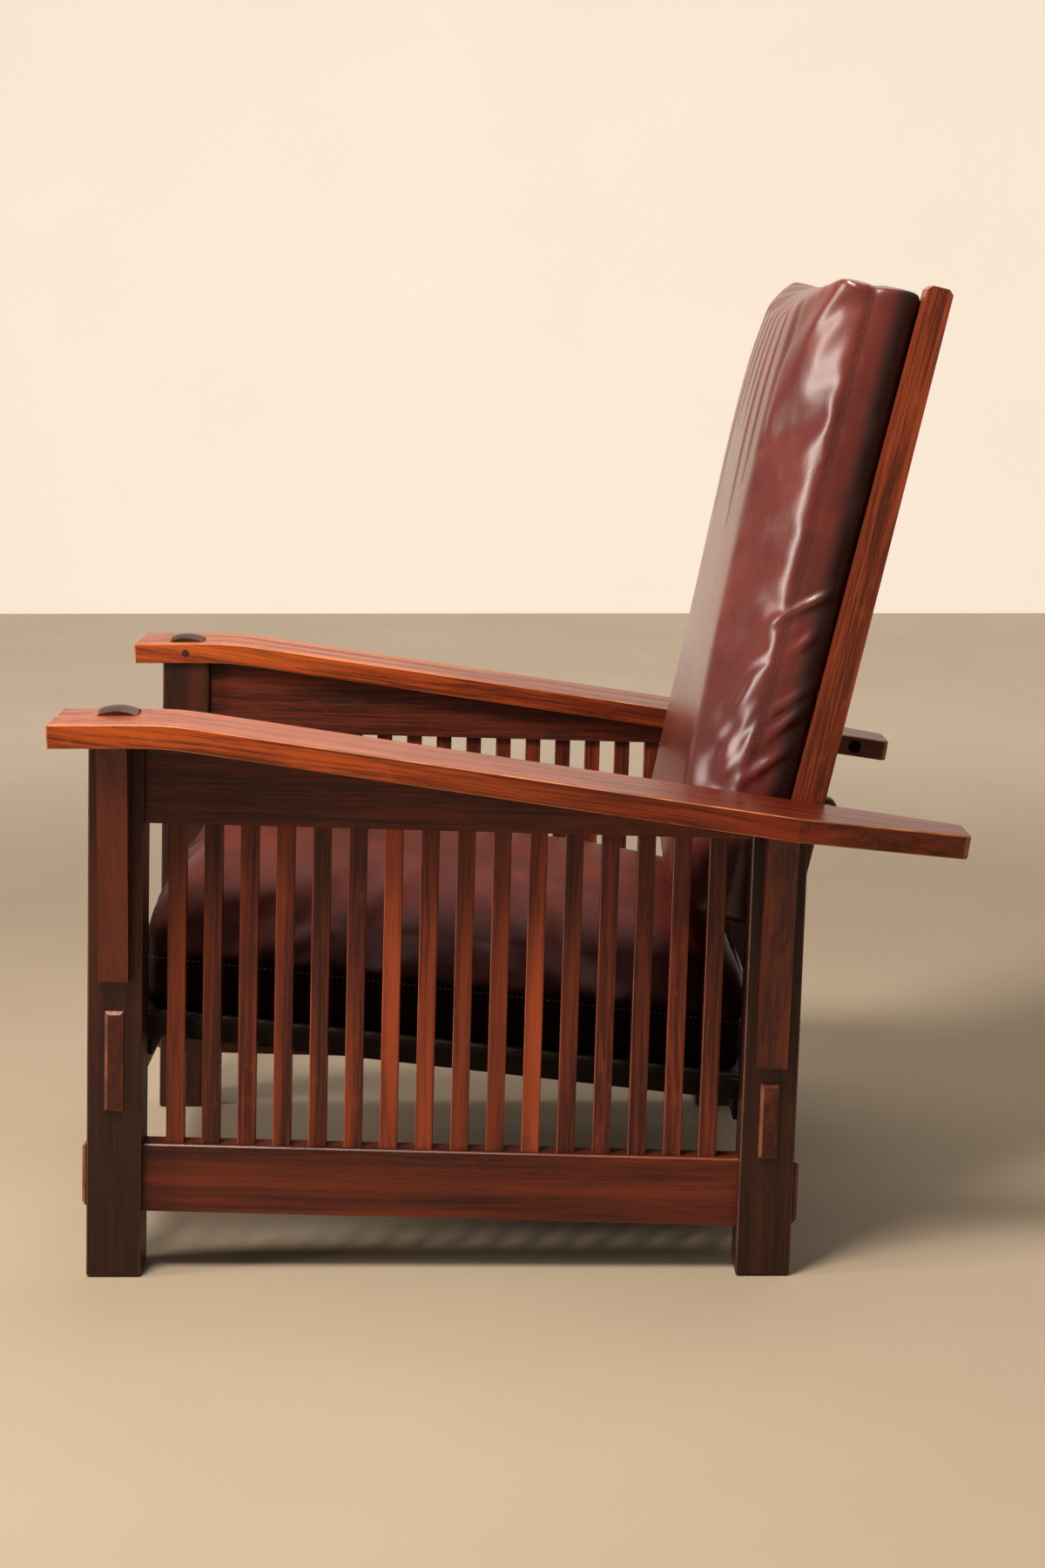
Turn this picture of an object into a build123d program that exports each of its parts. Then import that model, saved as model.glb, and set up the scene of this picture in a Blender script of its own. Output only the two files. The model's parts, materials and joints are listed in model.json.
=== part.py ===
from build123d import *
import os
from math import cos, hypot, pi, radians, sin, tan

# Reclining armchair in oak with slatted sides, sloping arms and two loose leather cushions.
# Millimetres, +Z up. The chair faces -Y and the sitter's left is +X. The origin lies on the
# floor, midway between the arms and midway along them.

# Overall sizes
overall_width = 851.0
arm_length = 959.0
arm_height = 607.5
frame_depth = 755.0
side_tilt = 1.61

# Posts
post_size = 58.0
post_setback = 19.0
post_edge = 1.5
foot_edge = 3.5
front_tenon_size = 41.0
front_tenon_rise = 9.5
front_tenon_dome_radius = 54.5
rear_tenon_size = 34.0
rear_tenon_height = 15.0
tenon_pin_radius = 4.8
tenon_pin_length = 60.0

# Arms
arm_width = 122.5
arm_rear_width = 70.0
arm_thickness = 25.4
arm_slope = 8.6
arm_flat_length = 122.6
arm_bend_radius = 360.0
arm_taper_length = 187.0
arm_side_overhang = 57.0
arm_corner = 9.0
arm_edge = 2.2

# Bottom side rails and the tapered aprons under the arms
rail_bottom = 71.5
rail_height = 74.5
rail_thickness = 32.0
rail_setback = 13.5
rail_edge = 1.5
rail_shoulder = 3.5
rail_tenon_thickness = 20.0
rail_tenon_rise = 7.5
apron_height = 87.1
apron_tenon_depth = 20.0
apron_tenon_thickness = 12.0
apron_shoulder = 3.0
tenon_bevel = 3.5

# Square spindles
spindle_size = 19.0
spindle_pitch = 38.1
spindle_end_gap = 24.0
spindle_edge = 0.8
spindle_tenon_size = 13.0
spindle_tenon_length = 12.0

# Rails across the chair, with tenons that show on the outside of the posts
seat_rail_thickness = 26.0
seat_rail_shoulder = 4.0
seat_tenon_thickness = 20.0
seat_tenon_rise = 5.5
front_rail_bottom = 182.0
front_rail_height = 117.0
rear_rail_bottom = 148.0
rear_rail_height = 90.0

# Long corbels on the outside of the posts
corbel_width = 32.0
corbel_edge = 1.2
corbel_foot_reach = 14.0
corbel_neck_reach = 30.0
corbel_top_reach = 43.0
corbel_neck_share = 0.68
corbel_sweep_share = 0.28
front_corbel_gap = 29.0
rear_corbel_gap = 15.0

# Drop-in seat on its two cleats
seat_slope = 6.66
seat_front_height = 253.0
cleat_thickness = 20.0
cleat_height = 22.0
seat_side_gap = 6.5
seat_frame_thickness = 22.0
seat_frame_member = 60.0
seat_frame_clearance = 2.0
seat_frame_tenon_length = 18.0
seat_frame_tenon_thickness = 9.0
web_thickness = 2.0
web_strap = 50.0
web_count_across = 5
web_count_along = 6
web_tack_margin = 12.0

# Reclining back
back_lean = 13.6
pivot_height = 391.5
stile_width = 38.0
stile_gap = 3.0
stile_front_offset = 8.7
stile_depth = 33.0
stile_top_depth = 27.7
stile_top = 698.0
stile_foot = 28.0
stile_foot_round = 12.0
stile_top_bevel = 5.0
stile_edge = 1.0
slat_count = 5
slat_height = 64.0
slat_thickness = 12.0
slat_bow = 18.0
slat_tenon = 12.0
slat_top = 665.0
slat_lowest = 45.0
slat_setback = 0.5

# Pivot pins, their plugs and spacers
pin_radius = 5.0
pin_clearance = 0.05
pin_end_cover = 2.0
plug_length = 8.0
plug_rise = 1.0
spacer_radius = 13.0
running_gap = 0.3

# Support pegs and their row of holes in the arms
peg_radius = 8.0
peg_hole_clearance = 0.2
peg_hole_depth = 40.0
peg_hole_pitch = 33.0
peg_hole_count = 4
knob_radius = 13.5
knob_length = 22.0
knob_round = 6.0
knob_gap = 4.0

# Cushions: seamed at mid thickness, drawn in along their sides and crowned on one face
cushion_clearance = 0.3
cushion_press = 3.0
cushion_corner = 20.0
cushion_round_share = 0.25
cushion_swell_share = 0.27
cushion_shoulder_share = 0.3
cushion_waist_share = 0.025
cushion_end_share = 0.5
cushion_flat_share = 0.08
cushion_squareness = 4
cushion_softness = 3
cushion_section_count = 15
seat_cushion_side_inset = 3.0
seat_cushion_front_inset = 5.0
seat_cushion_rear_inset = 12.5
seat_cushion_boxing = 118.0
seat_cushion_crown = 56.0
seat_lean_share = 0.08
back_cushion_overlap = 26.0
back_cushion_settle = 2.15
back_cushion_foot = -13.0
back_cushion_head = 688.0
back_cushion_boxing = 110.0
back_cushion_crown = 22.0
back_lean_share = 0.35

# Places worked out from the sizes above
tilt = radians(side_tilt)
slope = radians(arm_slope)
lean = radians(back_lean)
seat_pitch = radians(seat_slope)
arm_front_y = -arm_length / 2
arm_outer_x = overall_width / 2
arm_inner_x = arm_outer_x - arm_width
post_outer_x = arm_outer_x - arm_side_overhang
post_inner_x = post_outer_x - post_size
post_middle_x = post_outer_x - post_size / 2
rail_outer_x = post_outer_x - rail_setback
rail_middle_x = rail_outer_x - rail_thickness / 2
foot_y = arm_front_y + post_setback
clear_depth = frame_depth - 2 * post_size
apron_bottom = arm_height - arm_thickness - apron_height
front_corbel_bottom = front_rail_bottom + front_rail_height + front_corbel_gap
rear_corbel_bottom = rear_rail_bottom + rear_rail_height + rear_corbel_gap
spindle_count = int((clear_depth - spindle_size - 2 * spindle_end_gap) / spindle_pitch) + 1
seat_frame_width = 2 * (post_inner_x - seat_side_gap)
stile_outer_x = arm_inner_x - stile_gap
stile_inner_x = stile_outer_x - stile_width


def side_point(along, up):
    """(y, z) of a point given along the tilted bottom rail from the front foot and up the posts."""
    return (foot_y + along * cos(tilt) + up * sin(tilt), up * cos(tilt) - along * sin(tilt))


def tilted_rectangle(along, up, length, height):
    """Corners of a rectangle that stands square in the tilted side frame."""
    corners = [(along, up), (along + length, up), (along + length, up + height), (along, up + height)]
    return [side_point(*corner) for corner in corners]


def side_face(points, x):
    """Closed outline across the chair's depth, drawn on the plane at x."""
    with BuildSketch(Plane.YZ.offset(x)) as drawn:
        with BuildLine():
            Polyline(*points, close=True)
        make_face()
    return drawn.sketch


def eased_board(points, x, thickness, edge):
    """Board cut to an outline and laid from x outwards, with its long edges eased."""
    with BuildPart() as board:
        extrude(side_face(points, x), amount=thickness)
        half = max(side.length for side in board.edges()) / 2
        chamfer(board.edges().filter_by(lambda side: side.length > half), edge)
    return board.part


def arm_surface(depth):
    """(y, z) of the arm's front end, bend start, bend middle, bend end and rear end at a depth."""
    radius = arm_bend_radius - depth
    centre_y = arm_front_y + arm_flat_length - arm_bend_radius * tan(slope / 2)
    centre_z = arm_height - arm_bend_radius
    bend = [
        (centre_y + radius * sin(turn), centre_z + radius * cos(turn))
        for turn in (0, slope / 2, slope)
    ]
    run = (-arm_front_y - bend[2][0]) / cos(slope) - depth * tan(slope)
    rear = (bend[2][0] + run * cos(slope), bend[2][1] - run * sin(slope))
    return [(arm_front_y, arm_height - depth), *bend, rear]


def arm_profile(low_depth, high_depth, x):
    """Side view of a layer of the arm between two depths below its top, drawn at x."""
    low = arm_surface(low_depth)
    high = arm_surface(high_depth)
    with BuildSketch(Plane.YZ.offset(x)) as drawn:
        with BuildLine():
            Line(low[0], low[1])
            ThreePointArc(low[1], low[2], low[3])
            Line(low[3], low[4])
            Line(low[4], high[4])
            Line(high[4], high[3])
            ThreePointArc(high[3], high[2], high[1])
            Line(high[1], high[0])
            Line(high[0], low[0])
        make_face()
    return drawn.sketch


def arm_place(y, depth):
    """Height of the arm's sloping run at y, at a depth square below its top."""
    end = arm_surface(depth)[4]
    return end[1] + (end[0] - y) * tan(slope)


def under_arm(along):
    """Height up the posts of the arm's underside, at a place along the bottom rail."""
    y = side_point(along, apron_bottom)[0]
    z = min(arm_height - arm_thickness, arm_place(y, arm_thickness))
    return (z + along * sin(tilt)) / cos(tilt)


def tapered_place(height, offset):
    """(y, z) of a point given up the leaning back from its pivot and square behind the pivot."""
    return (
        pivot_y + height * sin(lean) + offset * cos(lean),
        pivot_z + height * cos(lean) - offset * sin(lean),
    )


def seat_place(y):
    """Height of the seat frame's underside at y."""
    return seat_front_height - (y - foot_y - post_size) * tan(seat_pitch)


def seat_line(along):
    """Height up the posts of the seat frame's underside, at a place along the bottom rail."""
    fall = tan(seat_pitch)
    level = seat_front_height - fall * (along * cos(tilt) - post_size) + along * sin(tilt)
    return level / (cos(tilt) + fall * sin(tilt))


def back_plane(height):
    """Plane across the back at a height up the stiles, with local y pointing behind the back."""
    y, z = tapered_place(height, 0)
    return Plane(origin=(0, y, z), x_dir=(1, 0, 0), z_dir=(0, sin(lean), cos(lean)))


def seat_cushion_plane(distance):
    """Plane across the seat cushion, behind its middle, with local y up from the webbing."""
    y = seat_cushion_middle_y + distance * cos(seat_pitch)
    rise = seat_frame_thickness + web_thickness + cushion_clearance
    origin = (0, y + rise * sin(seat_pitch), seat_place(y) + rise * cos(seat_pitch))
    return Plane(origin=origin, x_dir=(1, 0, 0), z_dir=(0, -cos(seat_pitch), sin(seat_pitch)))


def back_cushion_plane(distance):
    """Plane across the back cushion, above its middle, with local y forward from the stiles."""
    height = (back_cushion_head + back_cushion_foot) / 2 + distance
    place = tapered_place(height, back_cushion_settle - stile_front_offset)
    return Plane(origin=(0, *place), x_dir=(1, 0, 0), z_dir=(0, -sin(lean), -cos(lean)))


def cushion_section(plane, half_width, thickness, middle, crown):
    """Section of a cushion: seamed at mid thickness on its round sides and crowned on one face."""
    low = middle - thickness / 2
    high = middle + thickness / 2
    inset = cushion_round_share * thickness
    edge = half_width - cushion_swell_share * inset
    lower = middle - cushion_shoulder_share * thickness
    upper = middle + cushion_shoulder_share * thickness
    with BuildSketch(plane) as drawn:
        with BuildLine():
            Line((inset - half_width, low), (half_width - inset, low))
            ThreePointArc((half_width - inset, low), (edge, lower), (half_width, middle))
            ThreePointArc((half_width, middle), (edge, upper), (half_width - inset, high))
            ThreePointArc((half_width - inset, high), (0, high + crown), (inset - half_width, high))
            ThreePointArc((inset - half_width, high), (-edge, upper), (-half_width, middle))
            ThreePointArc((-half_width, middle), (-edge, lower), (inset - half_width, low))
        make_face()
    return drawn.sketch


def build_cushion(plane_at, length, width, boxing, crown, lean_share):
    """Loose cushion, lofted from end to end and pressed flat where it rests."""
    with BuildPart() as cushion:
        for number in range(cushion_section_count + 1):
            place = -cos(pi * number / cushion_section_count)
            fullness = (1 - abs(place) ** cushion_squareness) ** (1 / cushion_squareness)
            swell = (1 - abs(place) ** cushion_softness) ** (1 / cushion_softness)
            waist = 1 - cushion_waist_share * (1 - place**2)
            thin = cushion_end_share + (1 - cushion_end_share) * fullness
            rise = cushion_flat_share + (1 - cushion_flat_share) * swell
            add(
                cushion_section(
                    plane_at(place * length / 2),
                    waist * width / 2 - (1 - fullness) * cushion_corner,
                    thin * (boxing + cushion_press),
                    (boxing - cushion_press) / 2,
                    rise * crown * (1 + lean_share * place),
                )
            )
        loft()
        middle_plane = plane_at(0)
        rest = Plane(origin=middle_plane.origin, x_dir=(1, 0, 0), z_dir=middle_plane.y_dir)
        split(bisect_by=rest, keep=Keep.TOP)
    return cushion


pivot_y, pivot_z = side_point(frame_depth - post_size / 2, pivot_height)
front_rail_back = post_size / 2 + seat_rail_thickness / 2
rear_rail_front = frame_depth - front_rail_back
seat_front_y = side_point(front_rail_back, seat_line(front_rail_back))[0] + seat_frame_clearance
seat_rear_y = (
    side_point(rear_rail_front, seat_line(rear_rail_front))[0]
    - seat_frame_clearance
    - seat_frame_thickness * sin(seat_pitch)
)
seat_middle_y = (seat_front_y + seat_rear_y) / 2
seat_frame_length = (seat_rear_y - seat_front_y) / cos(seat_pitch)
seat_cushion_shift = (seat_cushion_front_inset - seat_cushion_rear_inset) / 2
seat_cushion_middle_y = seat_middle_y + seat_cushion_shift * cos(seat_pitch)
seat_cushion_length = seat_frame_length - seat_cushion_front_inset - seat_cushion_rear_inset
seat_cushion_width = seat_frame_width - 2 * seat_cushion_side_inset
back_cushion_width = 2 * (stile_inner_x + back_cushion_overlap)
above_arms = arm_profile(arm_thickness, -arm_height, 0)

# Row of square spindles with a short tenon at each end
spindle_bottom = rail_bottom + rail_height
spindle_length = apron_bottom - spindle_bottom
first_spindle = post_size + (clear_depth - spindle_size - (spindle_count - 1) * spindle_pitch) / 2
tenon_inset = (spindle_size - spindle_tenon_size) / 2
with BuildPart() as spindles:
    for number in range(spindle_count):
        along = first_spindle + number * spindle_pitch
        shaft = tilted_rectangle(along, spindle_bottom, spindle_size, spindle_length)
        core = tilted_rectangle(
            along + tenon_inset,
            spindle_bottom - spindle_tenon_length,
            spindle_tenon_size,
            spindle_length + 2 * spindle_tenon_length,
        )
        add(eased_board(shaft, rail_middle_x - spindle_size / 2, spindle_size, spindle_edge))
        extrude(side_face(core, rail_middle_x - spindle_tenon_size / 2), amount=spindle_tenon_size)
    extrude(above_arms, amount=overall_width, mode=Mode.SUBTRACT)

# Bottom side rail with bevelled tenons through both posts
with BuildPart() as side_rail:
    bar = tilted_rectangle(
        -rail_tenon_rise,
        rail_bottom + rail_shoulder,
        frame_depth + 2 * rail_tenon_rise,
        rail_height - 2 * rail_shoulder,
    )
    board = tilted_rectangle(post_size, rail_bottom, clear_depth, rail_height)
    extrude(side_face(bar, rail_middle_x - rail_tenon_thickness / 2), amount=rail_tenon_thickness)
    ends = side_rail.faces().sort_by(Axis.Y)
    chamfer([*ends[0].edges(), *ends[-1].edges()], tenon_bevel)
    add(eased_board(board, rail_outer_x - rail_thickness, rail_thickness, rail_edge))
    add(spindles.part, mode=Mode.SUBTRACT)

# Apron between the posts, cut to the slope of the arm above it
with BuildPart() as arm_apron:
    board = tilted_rectangle(post_size, apron_bottom, clear_depth, arm_height - apron_bottom)
    tongue = tilted_rectangle(
        post_size - apron_tenon_depth,
        apron_bottom + apron_shoulder,
        clear_depth + 2 * apron_tenon_depth,
        arm_height - apron_bottom,
    )
    extrude(side_face(board, rail_outer_x - rail_thickness), amount=rail_thickness)
    extrude(side_face(tongue, rail_middle_x - apron_tenon_thickness / 2), amount=apron_tenon_thickness)
    extrude(above_arms, amount=overall_width, mode=Mode.SUBTRACT)
    add(spindles.part, mode=Mode.SUBTRACT)


def build_seat_rail(middle, bottom, height):
    """Rail across the chair whose bevelled tenons pass through both posts."""
    tongue = tilted_rectangle(
        middle - seat_tenon_thickness / 2,
        bottom + seat_rail_shoulder,
        seat_tenon_thickness,
        height - 2 * seat_rail_shoulder,
    )
    board = tilted_rectangle(middle - seat_rail_thickness / 2, bottom, seat_rail_thickness, height)
    reach = post_outer_x + seat_tenon_rise
    with BuildPart() as rail:
        extrude(side_face(tongue, -reach), amount=2 * reach)
        ends = rail.faces().sort_by(Axis.X)
        chamfer([*ends[0].edges(), *ends[-1].edges()], tenon_bevel)
        add(eased_board(board, -post_inner_x, 2 * post_inner_x, rail_edge))
    return rail


# Seat rails across the front and the rear
front_seat_rail = build_seat_rail(post_size / 2, front_rail_bottom, front_rail_height)
rear_seat_rail = build_seat_rail(frame_depth - post_size / 2, rear_rail_bottom, rear_rail_height)


def corbel_reach(up, bottom, top):
    """How far a corbel stands out of its post on the straight part of its taper."""
    share = (up - bottom) / (top - bottom) / corbel_neck_share
    return corbel_foot_reach + (corbel_neck_reach - corbel_foot_reach) * share


def build_corbel(middle, bottom):
    """Long corbel that tapers straight from its foot and then sweeps out under the arm."""
    y, z = side_point(middle, 0)
    face = Plane(origin=(post_outer_x, y, z), x_dir=(1, 0, 0), z_dir=(0, -cos(tilt), sin(tilt)))
    top = under_arm(middle)
    neck = bottom + corbel_neck_share * (top - bottom)
    with BuildPart() as corbel:
        with BuildSketch(face):
            with BuildLine():
                Line((0, top), (0, bottom))
                Line((0, bottom), (corbel_foot_reach, bottom))
                Line((corbel_foot_reach, bottom), (corbel_neck_reach, neck))
                ThreePointArc(
                    (corbel_neck_reach, neck),
                    (corbel_neck_reach + corbel_sweep_share * (corbel_top_reach - corbel_neck_reach),
                     (neck + top) / 2),
                    (corbel_top_reach, top),
                )
                Line((corbel_top_reach, top), (corbel_top_reach, arm_height))
                Line((corbel_top_reach, arm_height), (0, arm_height))
                Line((0, arm_height), (0, top))
            make_face()
        extrude(amount=corbel_width / 2, both=True)
        extrude(above_arms, amount=overall_width, mode=Mode.SUBTRACT)
        foot = corbel.faces().sort_by(Axis.Z)[0]
        chamfer(foot.edges().sort_by(Axis.X)[-1], corbel_edge * 2)
    return corbel


# Dowels, pins and plugs lie across the chair
def cross_rod(place, start, end, radius):
    """Round rod parallel to X between two values of x."""
    with BuildPart() as rod:
        with BuildSketch(Plane(origin=(start, *place), x_dir=(0, 1, 0), z_dir=(1, 0, 0))):
            Circle(radius)
        extrude(amount=end - start)
    return rod.part


tenon_pin_place = (
    side_point(post_size / 2, arm_height - arm_thickness / 2)[0],
    arm_height - arm_thickness / 2,
)
rear_post_middle = frame_depth - post_size / 2
corbel_face_x = post_outer_x + corbel_reach(
    pivot_height, rear_corbel_bottom, under_arm(rear_post_middle)
)
plug_start_x = corbel_face_x - plug_length
pivot_place = (pivot_y, pivot_z)

with BuildPart() as tenon_pin:
    add(cross_rod(tenon_pin_place, arm_inner_x, arm_inner_x + tenon_pin_length, tenon_pin_radius))

with BuildPart() as pivot_pin:
    add(cross_rod(pivot_place, stile_inner_x + pin_end_cover, plug_start_x, pin_radius))

with BuildPart() as pivot_plug:
    add(cross_rod(pivot_place, plug_start_x, corbel_face_x + plug_rise, pin_radius))

with BuildPart() as pivot_spacer:
    add(cross_rod(pivot_place, stile_outer_x + running_gap, post_inner_x, spacer_radius))
    add(pivot_pin.part, mode=Mode.SUBTRACT)

# Corbels on the outside of the posts
front_corbel = build_corbel(post_size / 2, front_corbel_bottom)
with BuildPart() as rear_corbel:
    add(build_corbel(rear_post_middle, rear_corbel_bottom).part)
    add(pivot_pin.part, mode=Mode.SUBTRACT)
    add(pivot_plug.part, mode=Mode.SUBTRACT)


def post_axis(middle, up):
    """Plane across a post at a height up its middle line."""
    origin = (post_middle_x, *side_point(middle, up))
    return Plane(origin=origin, x_dir=(1, 0, 0), z_dir=(0, sin(tilt), cos(tilt)))


def plain_post(along):
    """Square post from the floor to the arm's underside."""
    corners = [
        (along, along * tan(tilt)),
        (along + post_size, (along + post_size) * tan(tilt)),
        (along + post_size, arm_height),
        (along, arm_height),
    ]
    with BuildPart() as post:
        extrude(side_face([side_point(*corner) for corner in corners], post_inner_x), amount=post_size)
        chamfer(post.faces().sort_by(Axis.Z)[0].edges(), foot_edge)
        chamfer(post.edges().filter_by(lambda side: side.length > arm_height / 2), post_edge)
        extrude(above_arms, amount=overall_width, mode=Mode.SUBTRACT)
    return post.part


# The front post's tenon passes through the arm and ends in a low dome
dome_top = (arm_height + front_tenon_rise) / cos(tilt)
with BuildPart() as domed_tenon:
    with BuildSketch(post_axis(post_size / 2, dome_top - 2 * arm_thickness)):
        Rectangle(front_tenon_size, front_tenon_size)
    extrude(amount=3 * arm_thickness)
    with Locations(post_axis(post_size / 2, dome_top - front_tenon_dome_radius)):
        Sphere(front_tenon_dome_radius, mode=Mode.INTERSECT)

with BuildPart() as front_post:
    add(plain_post(0))
    add(domed_tenon.part)
    for inner in (side_rail, arm_apron, front_seat_rail, tenon_pin):
        add(inner.part, mode=Mode.SUBTRACT)

# The rear post's tenon stops inside the arm
with BuildPart() as blind_tenon:
    with BuildSketch(post_axis(rear_post_middle, under_arm(rear_post_middle) - arm_thickness)):
        Rectangle(rear_tenon_size, rear_tenon_size)
    extrude(amount=3 * arm_thickness)
    extrude(
        arm_profile(arm_thickness - rear_tenon_height, -arm_height, 0),
        amount=overall_width,
        mode=Mode.SUBTRACT,
    )

with BuildPart() as rear_post:
    add(plain_post(frame_depth - post_size))
    add(blind_tenon.part)
    for inner in (side_rail, arm_apron, rear_seat_rail, pivot_pin):
        add(inner.part, mode=Mode.SUBTRACT)

# Support pegs: the first hole puts the peg just behind the stile
stile_taper = (stile_depth - stile_top_depth) / stile_top
arm_fall = tan(slope)
pivot_to_arm = arm_place(pivot_y, arm_thickness / 2) - pivot_z
peg_offset = stile_depth - stile_front_offset + (peg_radius + running_gap) * hypot(1, stile_taper)
peg_reach = peg_offset + pivot_to_arm * (sin(lean) - stile_taper * cos(lean))
peg_reach /= (
    cos(lean) + arm_fall * sin(lean) + stile_taper * (sin(lean) - arm_fall * cos(lean))
)
peg_places = [
    (
        pivot_y + peg_reach + number * peg_hole_pitch * cos(slope),
        arm_place(pivot_y + peg_reach + number * peg_hole_pitch * cos(slope), arm_thickness / 2),
    )
    for number in range(peg_hole_count)
]

with BuildPart() as support_peg:
    knob_end_x = stile_inner_x - knob_gap
    add(cross_rod(peg_places[0], knob_end_x - knob_length, knob_end_x, knob_radius))
    fillet(support_peg.edges(), knob_round)
    add(cross_rod(peg_places[0], knob_end_x - knob_length / 2, arm_inner_x - running_gap, peg_radius))

# Arm: one thick board, bent near the front, narrowed behind the rear post
with BuildPart() as arm:
    extrude(arm_profile(arm_thickness, 0, arm_inner_x), amount=arm_width)
    with BuildSketch():
        with BuildLine():
            Polyline(
                (arm_outer_x, arm_length / 2 - arm_taper_length),
                (arm_inner_x + arm_rear_width, arm_length / 2),
                (arm_outer_x, arm_length / 2),
                close=True,
            )
        make_face()
    extrude(amount=arm_height, mode=Mode.SUBTRACT)
    rear_end = arm.faces().sort_by(Axis.Y)[-1]
    fillet(rear_end.edges().sort_by(SortBy.LENGTH)[:2], arm_corner)
    bend_lines = [y for y, z in (arm_surface(0)[1], arm_surface(0)[3])]
    eased = arm.edges().filter_by(
        lambda side: side.length > arm_corner
        and not (side.is_closed or abs(side.tangent_at(0.5).X) > 0.999 and
                 min(bend_lines) - arm_thickness < side.center().Y < max(bend_lines) + arm_thickness)
        and (abs(side.tangent_at(0.5).Z) < 0.9 or side.center().Y < arm_front_y + arm_thickness)
    )
    fillet(eased, arm_edge)
    for inner in (front_post, rear_post, tenon_pin):
        add(inner.part, mode=Mode.SUBTRACT)
    for place in peg_places:
        hole = cross_rod(
            place, arm_inner_x, arm_inner_x + peg_hole_depth, peg_radius + peg_hole_clearance
        )
        add(hole, mode=Mode.SUBTRACT)


def build_cleat(along):
    """Cleat across the chair whose top follows the underside of the seat frame."""
    outline = [(place, seat_line(place)) for place in (along, along + cleat_thickness)]
    outline += [(place, up - cleat_height) for place, up in reversed(outline)]
    points = [side_point(*point) for point in outline]
    with BuildPart() as cleat:
        add(eased_board(points, -seat_frame_width / 2, seat_frame_width, rail_edge / 2))
    return cleat


# Cleats on the inner faces of the seat rails
front_seat_cleat = build_cleat(front_rail_back)
rear_seat_cleat = build_cleat(rear_rail_front - cleat_thickness)

# Drop-in seat frame
frame_plane = Plane(
    origin=(0, seat_middle_y, seat_place(seat_middle_y)),
    x_dir=(1, 0, 0),
    z_dir=(0, sin(seat_pitch), cos(seat_pitch)),
)
side_member_x = (seat_frame_width - seat_frame_member) / 2
end_member_y = (seat_frame_length - seat_frame_member) / 2
side_member_length = seat_frame_length - 2 * seat_frame_member
with BuildPart() as seat_frame_side:
    with BuildSketch(frame_plane):
        with Locations((side_member_x, 0)):
            Rectangle(seat_frame_member, side_member_length)
    extrude(amount=seat_frame_thickness)
    with BuildSketch(frame_plane.offset((seat_frame_thickness - seat_frame_tenon_thickness) / 2)):
        with Locations((side_member_x, 0)):
            Rectangle(seat_frame_member, side_member_length + 2 * seat_frame_tenon_length)
    extrude(amount=seat_frame_tenon_thickness)


def build_end_member(distance):
    """Member across the seat frame, mortised for the side members."""
    with BuildPart() as member:
        with BuildSketch(frame_plane):
            with Locations((0, distance)):
                Rectangle(seat_frame_width, seat_frame_member)
        extrude(amount=seat_frame_thickness)
        add(seat_frame_side.part, mode=Mode.SUBTRACT)
        add(seat_frame_side.part.mirror(Plane.YZ), mode=Mode.SUBTRACT)
    return member


seat_frame_front = build_end_member(-end_member_y)
seat_frame_rear = build_end_member(end_member_y)

# Straps over the seat frame
with BuildPart() as seat_webbing:
    strap_width = seat_frame_width - 2 * web_tack_margin
    strap_length = seat_frame_length - 2 * web_tack_margin
    gap_across = (strap_width - web_strap) / (web_count_across - 1)
    gap_along = (strap_length - web_strap) / (web_count_along - 1)
    with BuildSketch(frame_plane.offset(seat_frame_thickness)):
        with GridLocations(gap_across, strap_length, web_count_across, 1):
            Rectangle(web_strap, strap_length)
        with GridLocations(strap_width, gap_along, 1, web_count_along):
            Rectangle(strap_width, web_strap)
    extrude(amount=web_thickness)

# Seat cushion, flat on the webbing, and back cushion, flat against the slats
seat_cushion = build_cushion(
    seat_cushion_plane,
    seat_cushion_length,
    seat_cushion_width,
    seat_cushion_boxing,
    seat_cushion_crown,
    seat_lean_share,
)
back_cushion = build_cushion(
    back_cushion_plane,
    back_cushion_head - back_cushion_foot,
    back_cushion_width,
    back_cushion_boxing,
    back_cushion_crown,
    back_lean_share,
)

# Curved slats across the back
slat_step = (slat_top - slat_height - slat_lowest) / (slat_count - 1)
slat_half = stile_inner_x + slat_tenon
slat_front = slat_setback - stile_front_offset
back_slats = []
for number in range(slat_count):
    with BuildPart() as back_slat:
        with BuildSketch(back_plane(slat_lowest + number * slat_step)):
            with BuildLine():
                ThreePointArc((-slat_half, slat_front), (0, slat_front + slat_bow), (slat_half, slat_front))
                Line((slat_half, slat_front), (slat_half, slat_front + slat_thickness))
                ThreePointArc(
                    (slat_half, slat_front + slat_thickness),
                    (0, slat_front + slat_bow + slat_thickness),
                    (-slat_half, slat_front + slat_thickness),
                )
                Line((-slat_half, slat_front + slat_thickness), (-slat_half, slat_front))
            make_face()
        extrude(amount=slat_height)
    back_slats.append(back_slat)

# Stiles of the back, thinner towards the top and rounded round the pivot
with BuildPart() as back_stile:
    stile_rear = stile_depth - stile_front_offset
    outline = [
        (-stile_foot, -stile_front_offset),
        (stile_top, -stile_front_offset),
        (stile_top, stile_top_depth - stile_front_offset),
        (-stile_foot, stile_rear + stile_foot * stile_taper),
    ]
    points = [tapered_place(*point) for point in outline]
    extrude(side_face(points, stile_inner_x), amount=stile_width)
    cross_edges = back_stile.edges().filter_by(Axis.X).sort_by(Axis.Z)
    fillet(cross_edges[:2], stile_foot_round)
    chamfer(cross_edges[-2:], stile_top_bevel)
    for slat in back_slats:
        add(slat.part, mode=Mode.SUBTRACT)
    bore = cross_rod(
        pivot_place,
        stile_inner_x + pin_end_cover - running_gap,
        stile_outer_x,
        pin_radius + pin_clearance,
    )
    add(bore, mode=Mode.SUBTRACT)

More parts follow.
